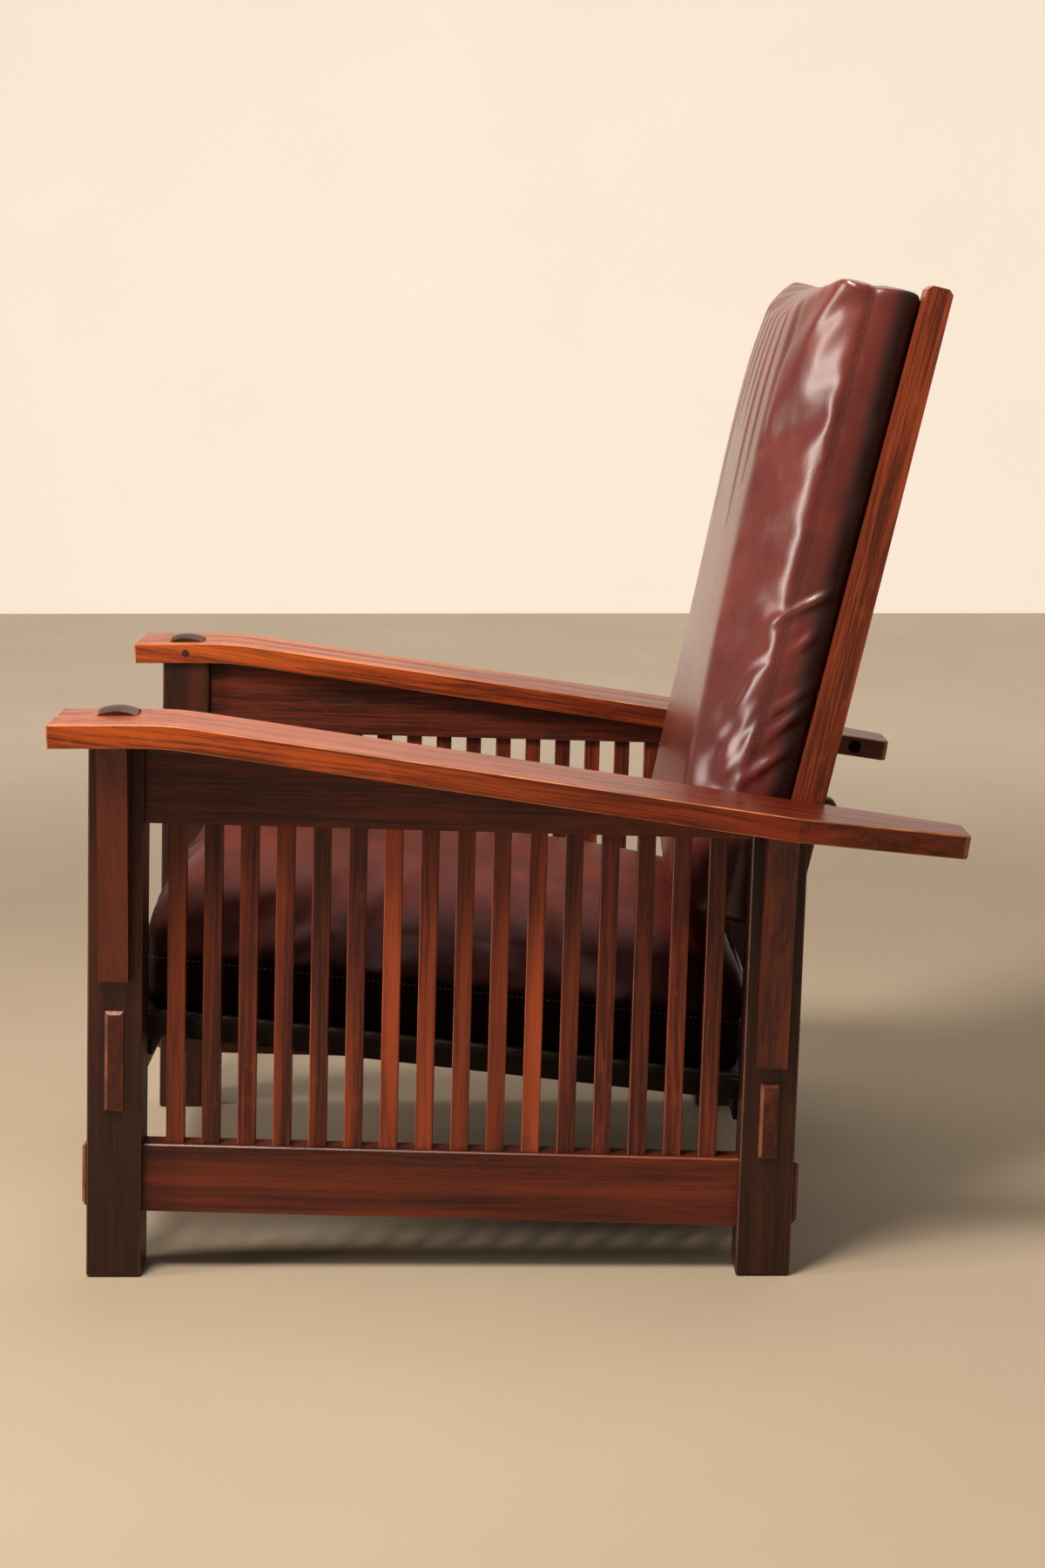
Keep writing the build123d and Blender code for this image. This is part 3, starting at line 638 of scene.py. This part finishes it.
@dataclass
class Cushion:
    """A loose leather cushion, seamed at mid thickness, that stands for its CAD solid.

    Attributes:
        name: Name of the finished piece.
        node: CAD solid that it stands for.
        body: CAD body that it rides on.
        origin: A point of the face that it rests on, in metres.
        along: Direction of its length.
        out: Direction of its crowned face.
        fill: How tight it is, from 0 to 1; not used.
        slack: How much smaller than the CAD solid it is cut, at each side, end and face.
        crown: How far its face is domed before it is stuffed.
        lean: Share by which the dome is fuller towards the far end.
        folds: Creases that the sitter has left.
        voxel: Size of its faces.
        swell: Most that the stuffing may move a point.
        ends: How far the dome keeps its height towards the ends.
        corner: Radius of the cover's edges.
        brow: Radius over which its sides turn into the crowned face.
        heel: Radius over which its sides turn into the resting face.
        shoulder: Width over which the crowned face falls towards each side.
        droop: How far it falls there.
        ears: How far the far corners are drawn out.
        shade: Height up to which its sides get painted shade.
        pressure: Pressure of its filling in the simulation.
        waist: How far its sides and its ends are drawn in between their corners.
        groove: Depth of the groove along its seam.
        seam_width: Half width of that groove.
        smoothing: Rounds of smoothing after it is stuffed.
        ear_reach: Distance over which a corner is drawn out.
        ear_inset: How far the tips of its ears lie from its resting face and from its crowned one.
        ear_pull: Share of the pull that goes outwards and out of the cushion, and the share along it.
        seam: Height of its seam, which measure reads.
        low: Its lowest corner, which measure reads.
        high: Its highest corner, which measure reads.
    """

    name: str
    node: str
    body: str
    origin: Vector
    along: Vector
    out: Vector
    fill: float
    slack: tuple
    crown: float
    lean: float
    folds: tuple[Fold, ...] = ()
    ends: float = 3.0
    voxel: float = 0.0062
    swell: float = 0.016
    corner: float = 0.012
    brow: float = 0.018
    heel: float = 0.018
    shoulder: float = 0.09
    droop: float = 0.010
    ears: float = 0.0
    shade: float = 0.018
    pressure: float = 4.0
    waist: tuple = (0.005, 0.004)
    groove: float = 0.0022
    seam_width: float = 0.006
    smoothing: int = 24
    ear_reach: float = 0.024
    ear_inset: tuple = (0.022, 0.012)
    ear_pull: tuple = (0.45, 0.75)
    seam: float = 0.0
    low: np.ndarray | None = None
    high: np.ndarray | None = None

    def frame(self) -> np.ndarray:
        """Rows of the cushion's own directions: across, along and out."""
        return np.array([(1.0, 0.0, 0.0), self.along, self.out])

    def local(self, points: np.ndarray) -> np.ndarray:
        """Points in the cushion's own directions, from its origin."""
        return (points - np.array(self.origin)) @ self.frame().T

    def world(self, points: np.ndarray) -> np.ndarray:
        """Points of the cushion's own directions, in the chair's frame."""
        return points @ self.frame() + np.array(self.origin)

    def measure(self, source: bpy.types.Object) -> None:
        """Reads the cut of the cover from the CAD solid.

        Args:
            source: The CAD solid.
        """
        here = self.local(_points(source))
        low, high = here.min(axis=0), here.max(axis=0)
        self.origin = Vector(self.world(np.array([(0.0, (low[1] + high[1]) / 2, low[2])]))[0])
        here = self.local(_points(source))
        rim = here[np.abs(here[:, 0]) > np.abs(here[:, 0]).max() - RIM_BAND]
        self.seam = (rim[:, 2].min() + rim[:, 2].max()) / 2
        self.low, self.high = here.min(axis=0), here.max(axis=0)
        self.high[2] = 2 * self.seam

    def blank(self, source: bpy.types.Object) -> bpy.types.Object:
        """Cuts a boxed cover, rounds its edges, domes its face and draws its sides in.

        Args:
            source: The CAD solid that gives its size.

        Returns:
            The cover, with even faces.
        """
        self.measure(source)
        slack = np.array(self.slack)
        low, high = self.low + slack * (1, 1, 0), self.high - slack
        bpy.ops.object.select_all(action="DESELECT")
        bpy.ops.mesh.primitive_cube_add(size=1.0)
        piece = bpy.context.active_object
        piece.name = self.name
        bpy.ops.object.mode_set(mode="EDIT")
        bpy.ops.mesh.select_all(action="SELECT")
        bpy.ops.transform.resize(value=tuple(high - low))
        bpy.ops.mesh.bevel(offset=self.corner, segments=3, affect="EDGES")
        bpy.ops.object.mode_set(mode="OBJECT")
        _set_points(piece, _points(piece) + (low + high) / 2)
        piece.data.remesh_voxel_size = self.voxel
        piece.data.use_remesh_fix_poles = True
        bpy.ops.object.voxel_remesh()
        here = _points(piece)
        middle, half = (low + high) / 2, (high - low) / 2
        share = np.clip((here - middle) / half, -1.0, 1.0)
        wide, long = share[:, 0], share[:, 1]
        dome = (1.0 - np.abs(wide) ** DOME_POWER) * (1.0 - np.abs(long) ** self.ends)
        dome *= 1.0 + self.lean * long
        upper = np.clip((here[:, 2] - low[2]) / (high[2] - low[2]), 0.0, 1.0)
        here[:, 2] += self.crown * dome * upper
        here[:, 0] -= _signed(wide, WAIST_POWERS[0]) * self.waist[0] * (1.0 - long**2)
        here[:, 1] -= _signed(long, WAIST_POWERS[1]) * self.waist[1] * (1.0 - wide**2)
        face = high[2] + self.crown * dome
        turned = _rounded(face - here[:, 2], self.brow)
        turned += HEEL_SHARE * _rounded(here[:, 2] - low[2], self.heel)
        here[:, 0] -= _signed(wide, TURN_POWER) * turned
        slope = _rounded((1.0 - np.abs(wide)) * half[0], self.shoulder) / self.shoulder
        here[:, 2] -= self.droop * slope * upper
        _set_points(piece, here)
        bpy.ops.object.voxel_remesh()
        _set_points(piece, self.world(_points(piece)))
        return piece

    def stuff(self, piece: bpy.types.Object) -> None:
        """Fills the cushion by cloth simulation, with its seam held.

        Args:
            piece: The even, slightly slack cushion.
        """
        start = _points(piece)
        here = self.local(start)
        near = np.exp(-(((here[:, 2] - self.seam) / self.seam_width) ** 2))
        rim = np.maximum(np.abs(here[:, 0]) / self.high[0], np.abs(here[:, 1]) / self.high[1])
        resting = here[:, 2] < self.low[2] + REST_BAND
        held = np.where(rim > RIM_SHARE, near, 0.0) + resting * REST_HOLD
        group = piece.vertex_groups.new(name="held")
        for index in np.nonzero(held > WEAKEST_HOLD)[0]:
            group.add([int(index)], float(min(held[index], 1.0)), "REPLACE")
        cloth = piece.modifiers.new("stuffing", "CLOTH")
        cloth.settings.quality = 5
        cloth.settings.mass = 0.4
        cloth.settings.tension_stiffness = 22.0
        cloth.settings.compression_stiffness = 22.0
        cloth.settings.shear_stiffness = 14.0
        cloth.settings.bending_stiffness = 14.0
        cloth.settings.use_pressure = True
        cloth.settings.uniform_pressure_force = self.pressure
        cloth.settings.shrink_min = -0.006
        cloth.settings.vertex_group_mass = "held"
        cloth.settings.pin_stiffness = 0.7
        cloth.settings.effector_weights.gravity = 0.0
        cloth.collision_settings.use_self_collision = False
        scene = bpy.context.scene
        for frame in range(1, STUFFING_FRAMES + 1):
            scene.frame_set(frame)
        depsgraph = bpy.context.evaluated_depsgraph_get()
        swollen = _points(piece.evaluated_get(depsgraph))
        piece.modifiers.remove(cloth)
        piece.vertex_groups.clear()
        scene.frame_set(1)
        move = swollen - start
        far = np.linalg.norm(move, axis=1, keepdims=True)
        move *= np.minimum(1.0, self.swell / np.maximum(far, 1e-9))
        _set_points(piece, start + move)
        log.info("%s: stuffed, moved up to %.1f mm", self.name, far.max() * 1000)

    def shape(self, piece: bpy.types.Object) -> None:
        """Presses the seam in, draws the folds, keeps it off its neighbours and paints shade into its grooves
        and lower sides.

        Args:
            piece: The stuffed cushion.
        """
        only(piece)
        soft = piece.modifiers.new("soft", "SMOOTH")
        soft.factor, soft.iterations = 0.5, self.smoothing
        bpy.ops.object.modifier_apply(modifier=soft.name)
        here = self.local(_points(piece))
        heel, brow = self.ear_inset
        wide, long = self.ear_pull
        for across in (-1, 1):
            for up, far in ((-1, heel), (1, self.high[2] - brow)):
                tip = np.array([across * self.high[0], self.high[1], far])
                near = np.exp(-((np.linalg.norm(here - tip, axis=1) / self.ear_reach) ** 2))
                here += near[:, None] * self.ears * np.array([wide * across, long, wide * up])
        here[:, 0] = np.sign(here[:, 0]) * _pressed(np.abs(here[:, 0]), self.high[0])
        here[:, 1] = np.sign(here[:, 1]) * _pressed(np.abs(here[:, 1]), self.high[1])
        _set_points(piece, self.world(here))
        normals = _normals(piece) @ self.frame().T
        side = 1.0 - np.clip(np.abs(normals[:, 2]) / SIDE_SLOPE, 0.0, 1.0)
        lift = -self.groove * side * np.exp(-(((here[:, 2] - self.seam) / self.seam_width) ** 2))
        for fold in self.folds:
            lift += _ridge(here, fold)
        here += normals * lift[:, None]
        log.info("%s: folds from %.1f to %.1f mm", self.name, lift.min() * 1000, lift.max() * 1000)
        self.clear(here)
        _set_points(piece, self.world(here))
        # Painted shade: the hollow attribute darkens the sides up to the shade height, the seam groove and
        # the fold valleys.
        hollow = piece.data.attributes.new("hollow", "FLOAT", "POINT")
        steep, level = PAINTED_SHADE_SLOPES
        upright = 1.0 - np.clip((normals[:, 2] - steep) / (level - steep), 0.0, 1.0)
        under = np.clip((self.shade - here[:, 2]) / (SHADE_FADE * self.shade), 0.0, 1.0) * upright
        dark = np.maximum(under, GROOVE_PAINTED_SHADE * np.clip(-lift / GROOVE_FULL, 0.0, 1.0))
        hollow.data.foreach_set("value", dark.astype(np.float32))

    def clear(self, here: np.ndarray) -> None:
        """Keeps points, in the cushion's own directions, above the face that it rests on."""
        here[:, 2] = np.maximum(here[:, 2], self.low[2] + REST_LIFT)

    def stitch(self, piece: bpy.types.Object, thread: bpy.types.Material) -> None:
        """Sews a row of thread along the side seam.

        Args:
            piece: The finished cushion.
            thread: Finish of the thread.
        """
        bpy.ops.object.select_all(action="DESELECT")
        seam = bpy.data.objects.new("seam_line", piece.data.copy())
        bpy.context.scene.collection.objects.link(seam)
        only(seam)
        bpy.ops.object.mode_set(mode="EDIT")
        bpy.ops.mesh.select_all(action="SELECT")
        middle = self.world(np.array([(0.0, 0.0, self.seam)]))[0]
        bpy.ops.mesh.bisect(plane_co=middle, plane_no=self.out, clear_inner=True, clear_outer=True)
        bpy.ops.object.mode_set(mode="OBJECT")
        bpy.ops.object.convert(target="CURVE")
        seam.data.twist_mode = "Z_UP"
        bpy.ops.object.select_all(action="DESELECT")
        bpy.ops.mesh.primitive_cylinder_add(vertices=6, radius=STITCH_RADIUS, depth=STITCH_LENGTH)
        row = bpy.context.active_object
        row.name = f"{self.name}_stitches"
        bpy.ops.object.mode_set(mode="EDIT")
        bpy.ops.mesh.select_all(action="SELECT")
        bpy.ops.transform.rotate(value=math.pi / 2, orient_axis="Y", center_override=(0.0, 0.0, 0.0))
        bpy.ops.mesh.bevel(offset=STITCH_EASE, segments=1)
        bpy.ops.object.mode_set(mode="OBJECT")
        repeat = row.modifiers.new("repeat", "ARRAY")
        repeat.fit_type = "FIT_CURVE"
        repeat.curve = seam
        repeat.use_relative_offset = False
        repeat.use_constant_offset = True
        repeat.constant_offset_displace = (STITCH_PITCH, 0.0, 0.0)
        follow = row.modifiers.new("follow", "CURVE")
        follow.object = seam
        only(row)
        for name in ("repeat", "follow"):
            bpy.ops.object.modifier_apply(modifier=name)
        bpy.data.objects.remove(seam)
        row.data.materials.append(thread)
        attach(row, self.body)

    def make(self, source: bpy.types.Object, hide: bpy.types.Material, thread: bpy.types.Material) -> None:
        """Makes, dresses and reports the cushion.

        Args:
            source: The CAD solid that it stands for.
            hide: Finish of the leather.
            thread: Finish of the stitches.
        """
        piece = self.blank(source)
        self.stuff(piece)
        only(piece)
        fine = piece.modifiers.new("fine", "SUBSURF")
        fine.levels = fine.render_levels = 1
        bpy.ops.object.modifier_apply(modifier=fine.name)
        self.shape(piece)
        bpy.ops.object.shade_smooth()
        piece.data.materials.clear()
        piece.data.materials.append(hide)
        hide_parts(self.node)
        self.stitch(piece, thread)
        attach(piece, self.body)
        log.info("%s: %d faces", self.name, len(piece.data.polygons))


@dataclass
class SeatCushion(Cushion):
    """The seat cushion, which bulges over the front rail and stays below the back cushion.

    Attributes:
        bulge: How far its front swells out above the rail.
        bulge_rise: Height over which the swelling sets in.
        bulge_depth: Distance from the front at which it has ended.
        bulge_reach: Distance from the middle at which it has ended.
    """

    bulge: float = 0.030
    bulge_rise: float = 0.03
    bulge_depth: float = 0.07
    bulge_reach: float = 0.3

    def clear(self, here: np.ndarray) -> None:
        """Keeps the cushion above the webbing, swells its front and keeps it off the back cushion.

        Args:
            here: Points in the cushion's own directions, which it moves.
        """
        super().clear(here)
        world = self.world(here)
        above = np.clip((world[:, 2] - RAIL_TOP) / self.bulge_rise, 0.0, 1.0)
        front = np.clip(1.0 - (world[:, 1] - world[:, 1].min()) / self.bulge_depth, 0.0, 1.0)
        beside = np.clip(np.abs(world[:, 0]) / self.bulge_reach, 0.0, 1.0)
        world[:, 1] -= self.bulge * above * front**2 * (1.0 - beside**4)
        lean = np.array([(0.0, math.sin(BACK_LEAN), math.cos(BACK_LEAN)),
                         (0.0, -math.cos(BACK_LEAN), math.sin(BACK_LEAN))])
        along, out = ((world - np.array(PIVOT)) @ lean.T).T
        over = np.clip(along + BACK_FOOT + BACK_GAP, 0.0, None) * (out < BACK_FRONT)
        forward = np.clip(BACK_FRONT - out, 0.0, None) * (over > 0)
        down = over <= forward
        world -= np.where(down, over, 0.0)[:, None] * lean[0]
        world += np.where(down, 0.0, forward)[:, None] * lean[1]
        here[:] = self.local(world)


def _pressed(reach: np.ndarray, limit: float) -> np.ndarray:
    """Holds distances softly below a limit, flattened near it."""
    return limit - PRESS_WIDTH * np.logaddexp(0.0, (limit - reach) / PRESS_WIDTH)


def _signed(share: np.ndarray, power: float) -> np.ndarray:
    """A power of a share that keeps its sign."""
    return np.sign(share) * np.abs(share) ** power


def _rounded(gap: np.ndarray, radius: float) -> np.ndarray:
    """How far a wall has turned inwards where it nears a face: the radius at the face, 0 beyond it."""
    share = np.clip(1.0 - gap / radius, 0.0, 1.0)
    return radius * (1.0 - np.sqrt(1.0 - share**2))


def _ridge(here: np.ndarray, fold: Fold) -> np.ndarray:
    """Height of a fold at each point.

    Args:
        here: Points in the cushion's own directions, in metres.
        fold: The fold.

    Returns:
        How far each point moves out.
    """
    start, end = np.array(fold.start) * MM, np.array(fold.end) * MM
    line = end - start
    share = np.clip((here - start) @ line / (line @ line), 0.0, 1.0)
    spread = np.where(np.abs(line) < 1e-9, FOLD_SPREAD, 1.0)
    away = (here - start - share[:, None] * line) * spread
    gap = np.linalg.norm(away, axis=1) / (fold.width * MM)
    start_share, run, power = FOLD_FADE
    fade = np.sin(np.pi * (start_share + run * share)) ** power
    hollow, reach = FOLD_HOLLOW
    profile = FOLD_RIDGE * np.exp(-(gap**2)) - hollow * np.exp(-((gap / reach) ** 2))
    return fold.height * MM * fade * profile


def _points(thing: bpy.types.Object) -> np.ndarray:
    """Vertex places of a mesh object.

    Args:
        thing: The object.

    Returns:
        A row of x, y and z for each vertex.
    """
    places = np.zeros(len(thing.data.vertices) * 3)
    thing.data.vertices.foreach_get("co", places)
    return places.reshape(-1, 3)


def _normals(thing: bpy.types.Object) -> np.ndarray:
    """Vertex normals of a mesh object.

    Args:
        thing: The object.

    Returns:
        A row of x, y and z for each vertex.
    """
    normals = np.zeros(len(thing.data.vertices) * 3)
    thing.data.vertices.foreach_get("normal", normals)
    return normals.reshape(-1, 3)


def _set_points(thing: bpy.types.Object, places: np.ndarray) -> None:
    """Moves the vertices of a mesh object."""
    thing.data.vertices.foreach_set("co", places.reshape(-1).astype(np.float32))
    thing.data.update()


@dataclass
class Upholstery:
    """The two loose cushions.

    Attributes:
        nodes: The CAD pieces by name.
        back_hide: Leather of the back cushion.
        seat_hide: Duller copy of the leather for the seat cushion, its darker colours painted shade.
        thread: Thread of the seams.
    """

    nodes: dict[str, bpy.types.Object]
    back_hide: Leather = Leather("oxblood_hide", (0.118, 0.018, 0.012), (0.085, 0.012, 0.009))
    # The seat's leather is the back's, made darker as painted shade and duller.
    seat_hide: Leather = Leather("seat_hide_painted_shade", (0.092, 0.016, 0.010), (0.056, 0.010, 0.007),
                                 gloss=0.42, shine=0.05)
    thread: Plain = Plain("seam_thread", (0.11, 0.035, 0.028), (0.075, 0.024, 0.02), 0.6)

    def seat(self) -> Cushion:
        """Describes the seat cushion, flat on the webbing.

        Returns:
            The cushion, still to be made.
        """
        along = Vector((0.0, math.cos(SEAT_PITCH), -math.sin(SEAT_PITCH)))
        out = Vector((0.0, math.sin(SEAT_PITCH), math.cos(SEAT_PITCH)))
        low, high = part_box("seat_cushion")
        middle = Vector((0.0, (low.y + high.y) / 2, (low.z + high.z) / 2))
        return SeatCushion(
            "seat_cushion_leather", "seat_cushion", "frame", middle, along, out,
            fill=0.75, slack=(0.005, 0.001, 0.006), crown=0.048, lean=-0.1, ends=12.0,
            # shade sets the height up to which the seat's sides get painted shade
            brow=0.045, shoulder=0.14, droop=0.016, shade=0.155,
        )

    def back(self) -> Cushion:
        """Describes the back cushion, flat against the slats.

        Returns:
            The cushion, still to be made.
        """
        along = Vector((0.0, math.sin(BACK_LEAN), math.cos(BACK_LEAN)))
        out = Vector((0.0, -math.cos(BACK_LEAN), math.sin(BACK_LEAN)))
        low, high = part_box("back_cushion")
        middle = Vector((0.0, (low.y + high.y) / 2, (low.z + high.z) / 2))
        return Cushion(
            "back_cushion_leather", "back_cushion", "back", middle, along, out,
            fill=0.8, slack=(0.002, 0.001, 0.009), crown=0.012, lean=1.3, folds=self.gathers(),
            # shade sets the width of the painted shade band along the face that rests on the slats
            brow=0.026, heel=0.028, shoulder=0.10, droop=0.008, ears=0.007, shade=0.034, pressure=3.0,
        )

    def gathers(self) -> tuple[Fold, ...]:
        """Lists the creases of the back cushion, slantwise on its sides and lengthwise on its face.

        Each line has its ends as along and out, or as across and along, then its height and width, in
        millimetres.

        Returns:
            The creases of both halves.
        """
        lines = (
            ((26, 14), (-7, 52), 4.0, 6),
            ((-4, 50), (-32, 78), 3.0, 6),
            ((-9, 80), (-78, 92), 4.0, 7),
            ((-22, 22), (-50, 42), 3.0, 6),
            ((-97, 10), (-140, 42), 4.5, 7),
            ((-74, 8), (-124, 52), 3.0, 7),
            ((-92, 74), (-160, 94), 4.5, 7),
            ((-182, 76), (-224, 94), 4.0, 7),
            ((-150, 20), (-196, 60), 3.5, 7),
            ((-60, 62), (-84, 84), -3.0, 5),
            ((-118, 60), (-172, 78), -2.5, 6),
        )
        front = (
            ((278, -12), (252, -112), 116, -5.0, 7),
            ((262, -125), (240, -190), 118, -4.0, 8),
            ((70, 330), (96, 60), 132, -3.0, 9),
            ((128, 345), (150, 110), 130, -3.0, 8),
            ((186, 340), (196, 150), 128, -2.5, 8),
            ((20, 335), (34, 170), 132, -2.5, 9),
        )
        found = []
        for side in (-1, 1):
            for (start, near), (end, far), height, width in lines:
                edge = side * BACK_HALF_WIDTH
                found.append(Fold((edge, start, near), (edge, end, far), height, width))
            for (across, start), (inner, end), out, height, width in front:
                first, last = (side * across, start, out), (side * inner, end, out)
                found.append(Fold(first, last, height, width))
        return tuple(found)

    def make_all(self) -> None:
        """Makes both cushions."""
        back_hide, seat_hide = self.back_hide.material(), self.seat_hide.material()
        thread = self.thread.material()
        for cushion, hide in ((self.seat(), seat_hide), (self.back(), back_hide)):
            cushion.make(self.nodes[cushion.node], hide, thread)


@dataclass(frozen=True)
class Softbox:
    """A large soft lamp.

    Attributes:
        name: Name of the lamp.
        place: Where it stands, in metres.
        aim: Point that it faces.
        size: Width and height.
        power: Watts.
        colour: Colour of its light.
    """

    name: str
    place: tuple
    aim: tuple
    size: tuple
    power: float
    colour: tuple


@dataclass
class Studio:
    """Pale floor and backdrop, soft lamps and the camera where the photographer stood.

    Attributes:
        lamps: The lamps.
        world_colour: Colour of the even light around.
        world_light: Strength of that light.
        world_seen: Brightness of the empty world behind everything, where 1 is its full colour.
        eye: The camera's place, in metres.
        pitch: How far it looks down.
        yaw: How far it looks round towards the back of the chair.
        lens: Focal length on a long side of 36 mm.
    """

    lamps: tuple = (
        Softbox("front_window", (1.25, -3.5, 1.35), (0.0, 0.0, 0.7), (0.8, 2.4), 120.0, (1.0, 0.93, 0.84)),
        Softbox("high_lamp", (1.5, -0.8, 3.0), (0.0, 0.0, 0.4), (0.8, 0.8), 130.0, (1.0, 0.92, 0.82)),
        Softbox("ceiling", (-0.9, 0.4, 3.6), (0.0, 0.0, 0.3), (2.4, 2.4), 60.0, (1.0, 0.95, 0.88)),
    )
    world_colour: tuple = (1.0, 0.95, 0.88, 1.0)
    world_light: float = 0.20
    world_seen: float = 0.75
    eye: tuple = (3.40086, -0.0090, 1.03111)
    pitch: float = 0.1617
    yaw: float = 0.0057
    lens: float = 67.518

    def sheet(self, name: str, low: tuple, high: tuple, glow: float, lit: float,
              place: tuple, turn: tuple) -> None:
        """Sets up a large plain sheet that the chair is photographed on or against.

        Args:
            name: Name of the sheet.
            low: Darker shade of its faint mottling.
            high: Lighter shade.
            glow: Brightness that it shows to the camera and in gloss, where 1 is its full colour.
            lit: Radius about its middle in which the lamps light it and it has no glow, in metres.
            place: Its middle.
            turn: Its rotation.
        """
        bpy.ops.object.select_all(action="DESELECT")
        bpy.ops.mesh.primitive_plane_add(size=SHEET_SIDE, location=place, rotation=turn)
        plane = bpy.context.active_object
        plane.name = name
        mixed = Recipe(name)
        mottle = mixed.noise(mixed.place(), (2, 2, 2), 3)
        colour = mixed.mix(mottle, low, high)
        reach = mixed.take("ShaderNodeVectorMath", {"operation": "LENGTH"}, {0: mixed.place()}, 1)
        beyond = mixed.shade(colour, reach.smooth(lit, lit + GLOW_WIDTH))
        path = mixed.node("ShaderNodeLightPath", {}, {})
        direct = Signal(mixed, path.outputs["Is Camera Ray"])
        glossy = Signal(mixed, path.outputs["Is Glossy Ray"])
        plane.data.materials.append(mixed.finish(
            Base_Color=colour,
            Roughness=0.7,
            Specular_IOR_Level=0.2,
            Emission_Color=beyond,
            Emission_Strength=mixed.maths("MAXIMUM", direct, glossy) * glow,
        ))

    def sheets(self) -> None:
        """Lays the floor that takes the chair's shadow and hangs the backdrop beyond it."""
        self.sheet("studio_floor", (0.34, 0.265, 0.19), (0.39, 0.31, 0.225), 0.9, 1.5,
                   (0, 0, 0), (0, 0, 0))
        self.sheet("studio_backdrop", (0.80, 0.70, 0.59), (0.85, 0.75, 0.64), 0.73, -3.0,
                   (-6.5, 0, 12.0), (0, math.pi / 2, 0))

    def room(self) -> None:
        """Sets an even, pale world."""
        world = bpy.data.worlds.new("studio")
        bpy.context.scene.world = world
        world.use_nodes = True
        tree = world.node_tree
        ground = tree.nodes["Background"]
        ground.inputs["Color"].default_value = self.world_colour
        path = tree.nodes.new("ShaderNodeLightPath")
        pick = tree.nodes.new("ShaderNodeMix")
        pick.inputs[2].default_value = self.world_light
        pick.inputs[3].default_value = self.world_seen
        tree.links.new(path.outputs["Is Camera Ray"], pick.inputs[0])
        tree.links.new(pick.outputs[0], ground.inputs["Strength"])

    def light(self) -> None:
        """Hangs the lamps."""
        for box in self.lamps:
            lamp = bpy.data.lights.new(box.name, "AREA")
            lamp.shape = "RECTANGLE"
            lamp.size, lamp.size_y = box.size
            lamp.energy = box.power
            lamp.color = box.colour
            hung = bpy.data.objects.new(box.name, lamp)
            hung.location = box.place
            aim = Vector(box.aim) - Vector(box.place)
            hung.rotation_euler = aim.to_track_quat("-Z", "Y").to_euler()
            bpy.context.scene.collection.objects.link(hung)

    def camera(self) -> None:
        """Sets the camera at the photograph's place, turn and field of view."""
        view = bpy.data.cameras.new("photograph")
        view.sensor_width = 36.0
        view.lens = self.lens
        seen = bpy.data.objects.new("photograph", view)
        level = math.cos(self.pitch)
        ahead = Vector((-level * math.cos(self.yaw), level * math.sin(self.yaw), -math.sin(self.pitch)))
        right = ahead.cross(Vector((0, 0, 1))).normalized()
        up = right.cross(ahead)
        turn = Matrix((right, up, -ahead)).transposed().to_4x4()
        seen.matrix_world = Matrix.Translation(self.eye) @ turn
        bpy.context.scene.collection.objects.link(seen)
        bpy.context.scene.camera = seen

    def build(self) -> None:
        """Sets up the whole studio."""
        self.sheets()
        self.room()
        self.light()
        self.camera()
        bpy.context.scene.view_settings.view_transform = "Standard"


def main() -> None:
    """Builds the studio, finishes the woodwork and makes the cushions."""
    logging.basicConfig(level=logging.INFO, format="%(name)s: %(message)s")
    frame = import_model()
    Studio().build()
    Woodwork(frame["nodes"]).dress_all()
    Upholstery(frame["nodes"]).make_all()


if __name__ == "__main__":
    main()
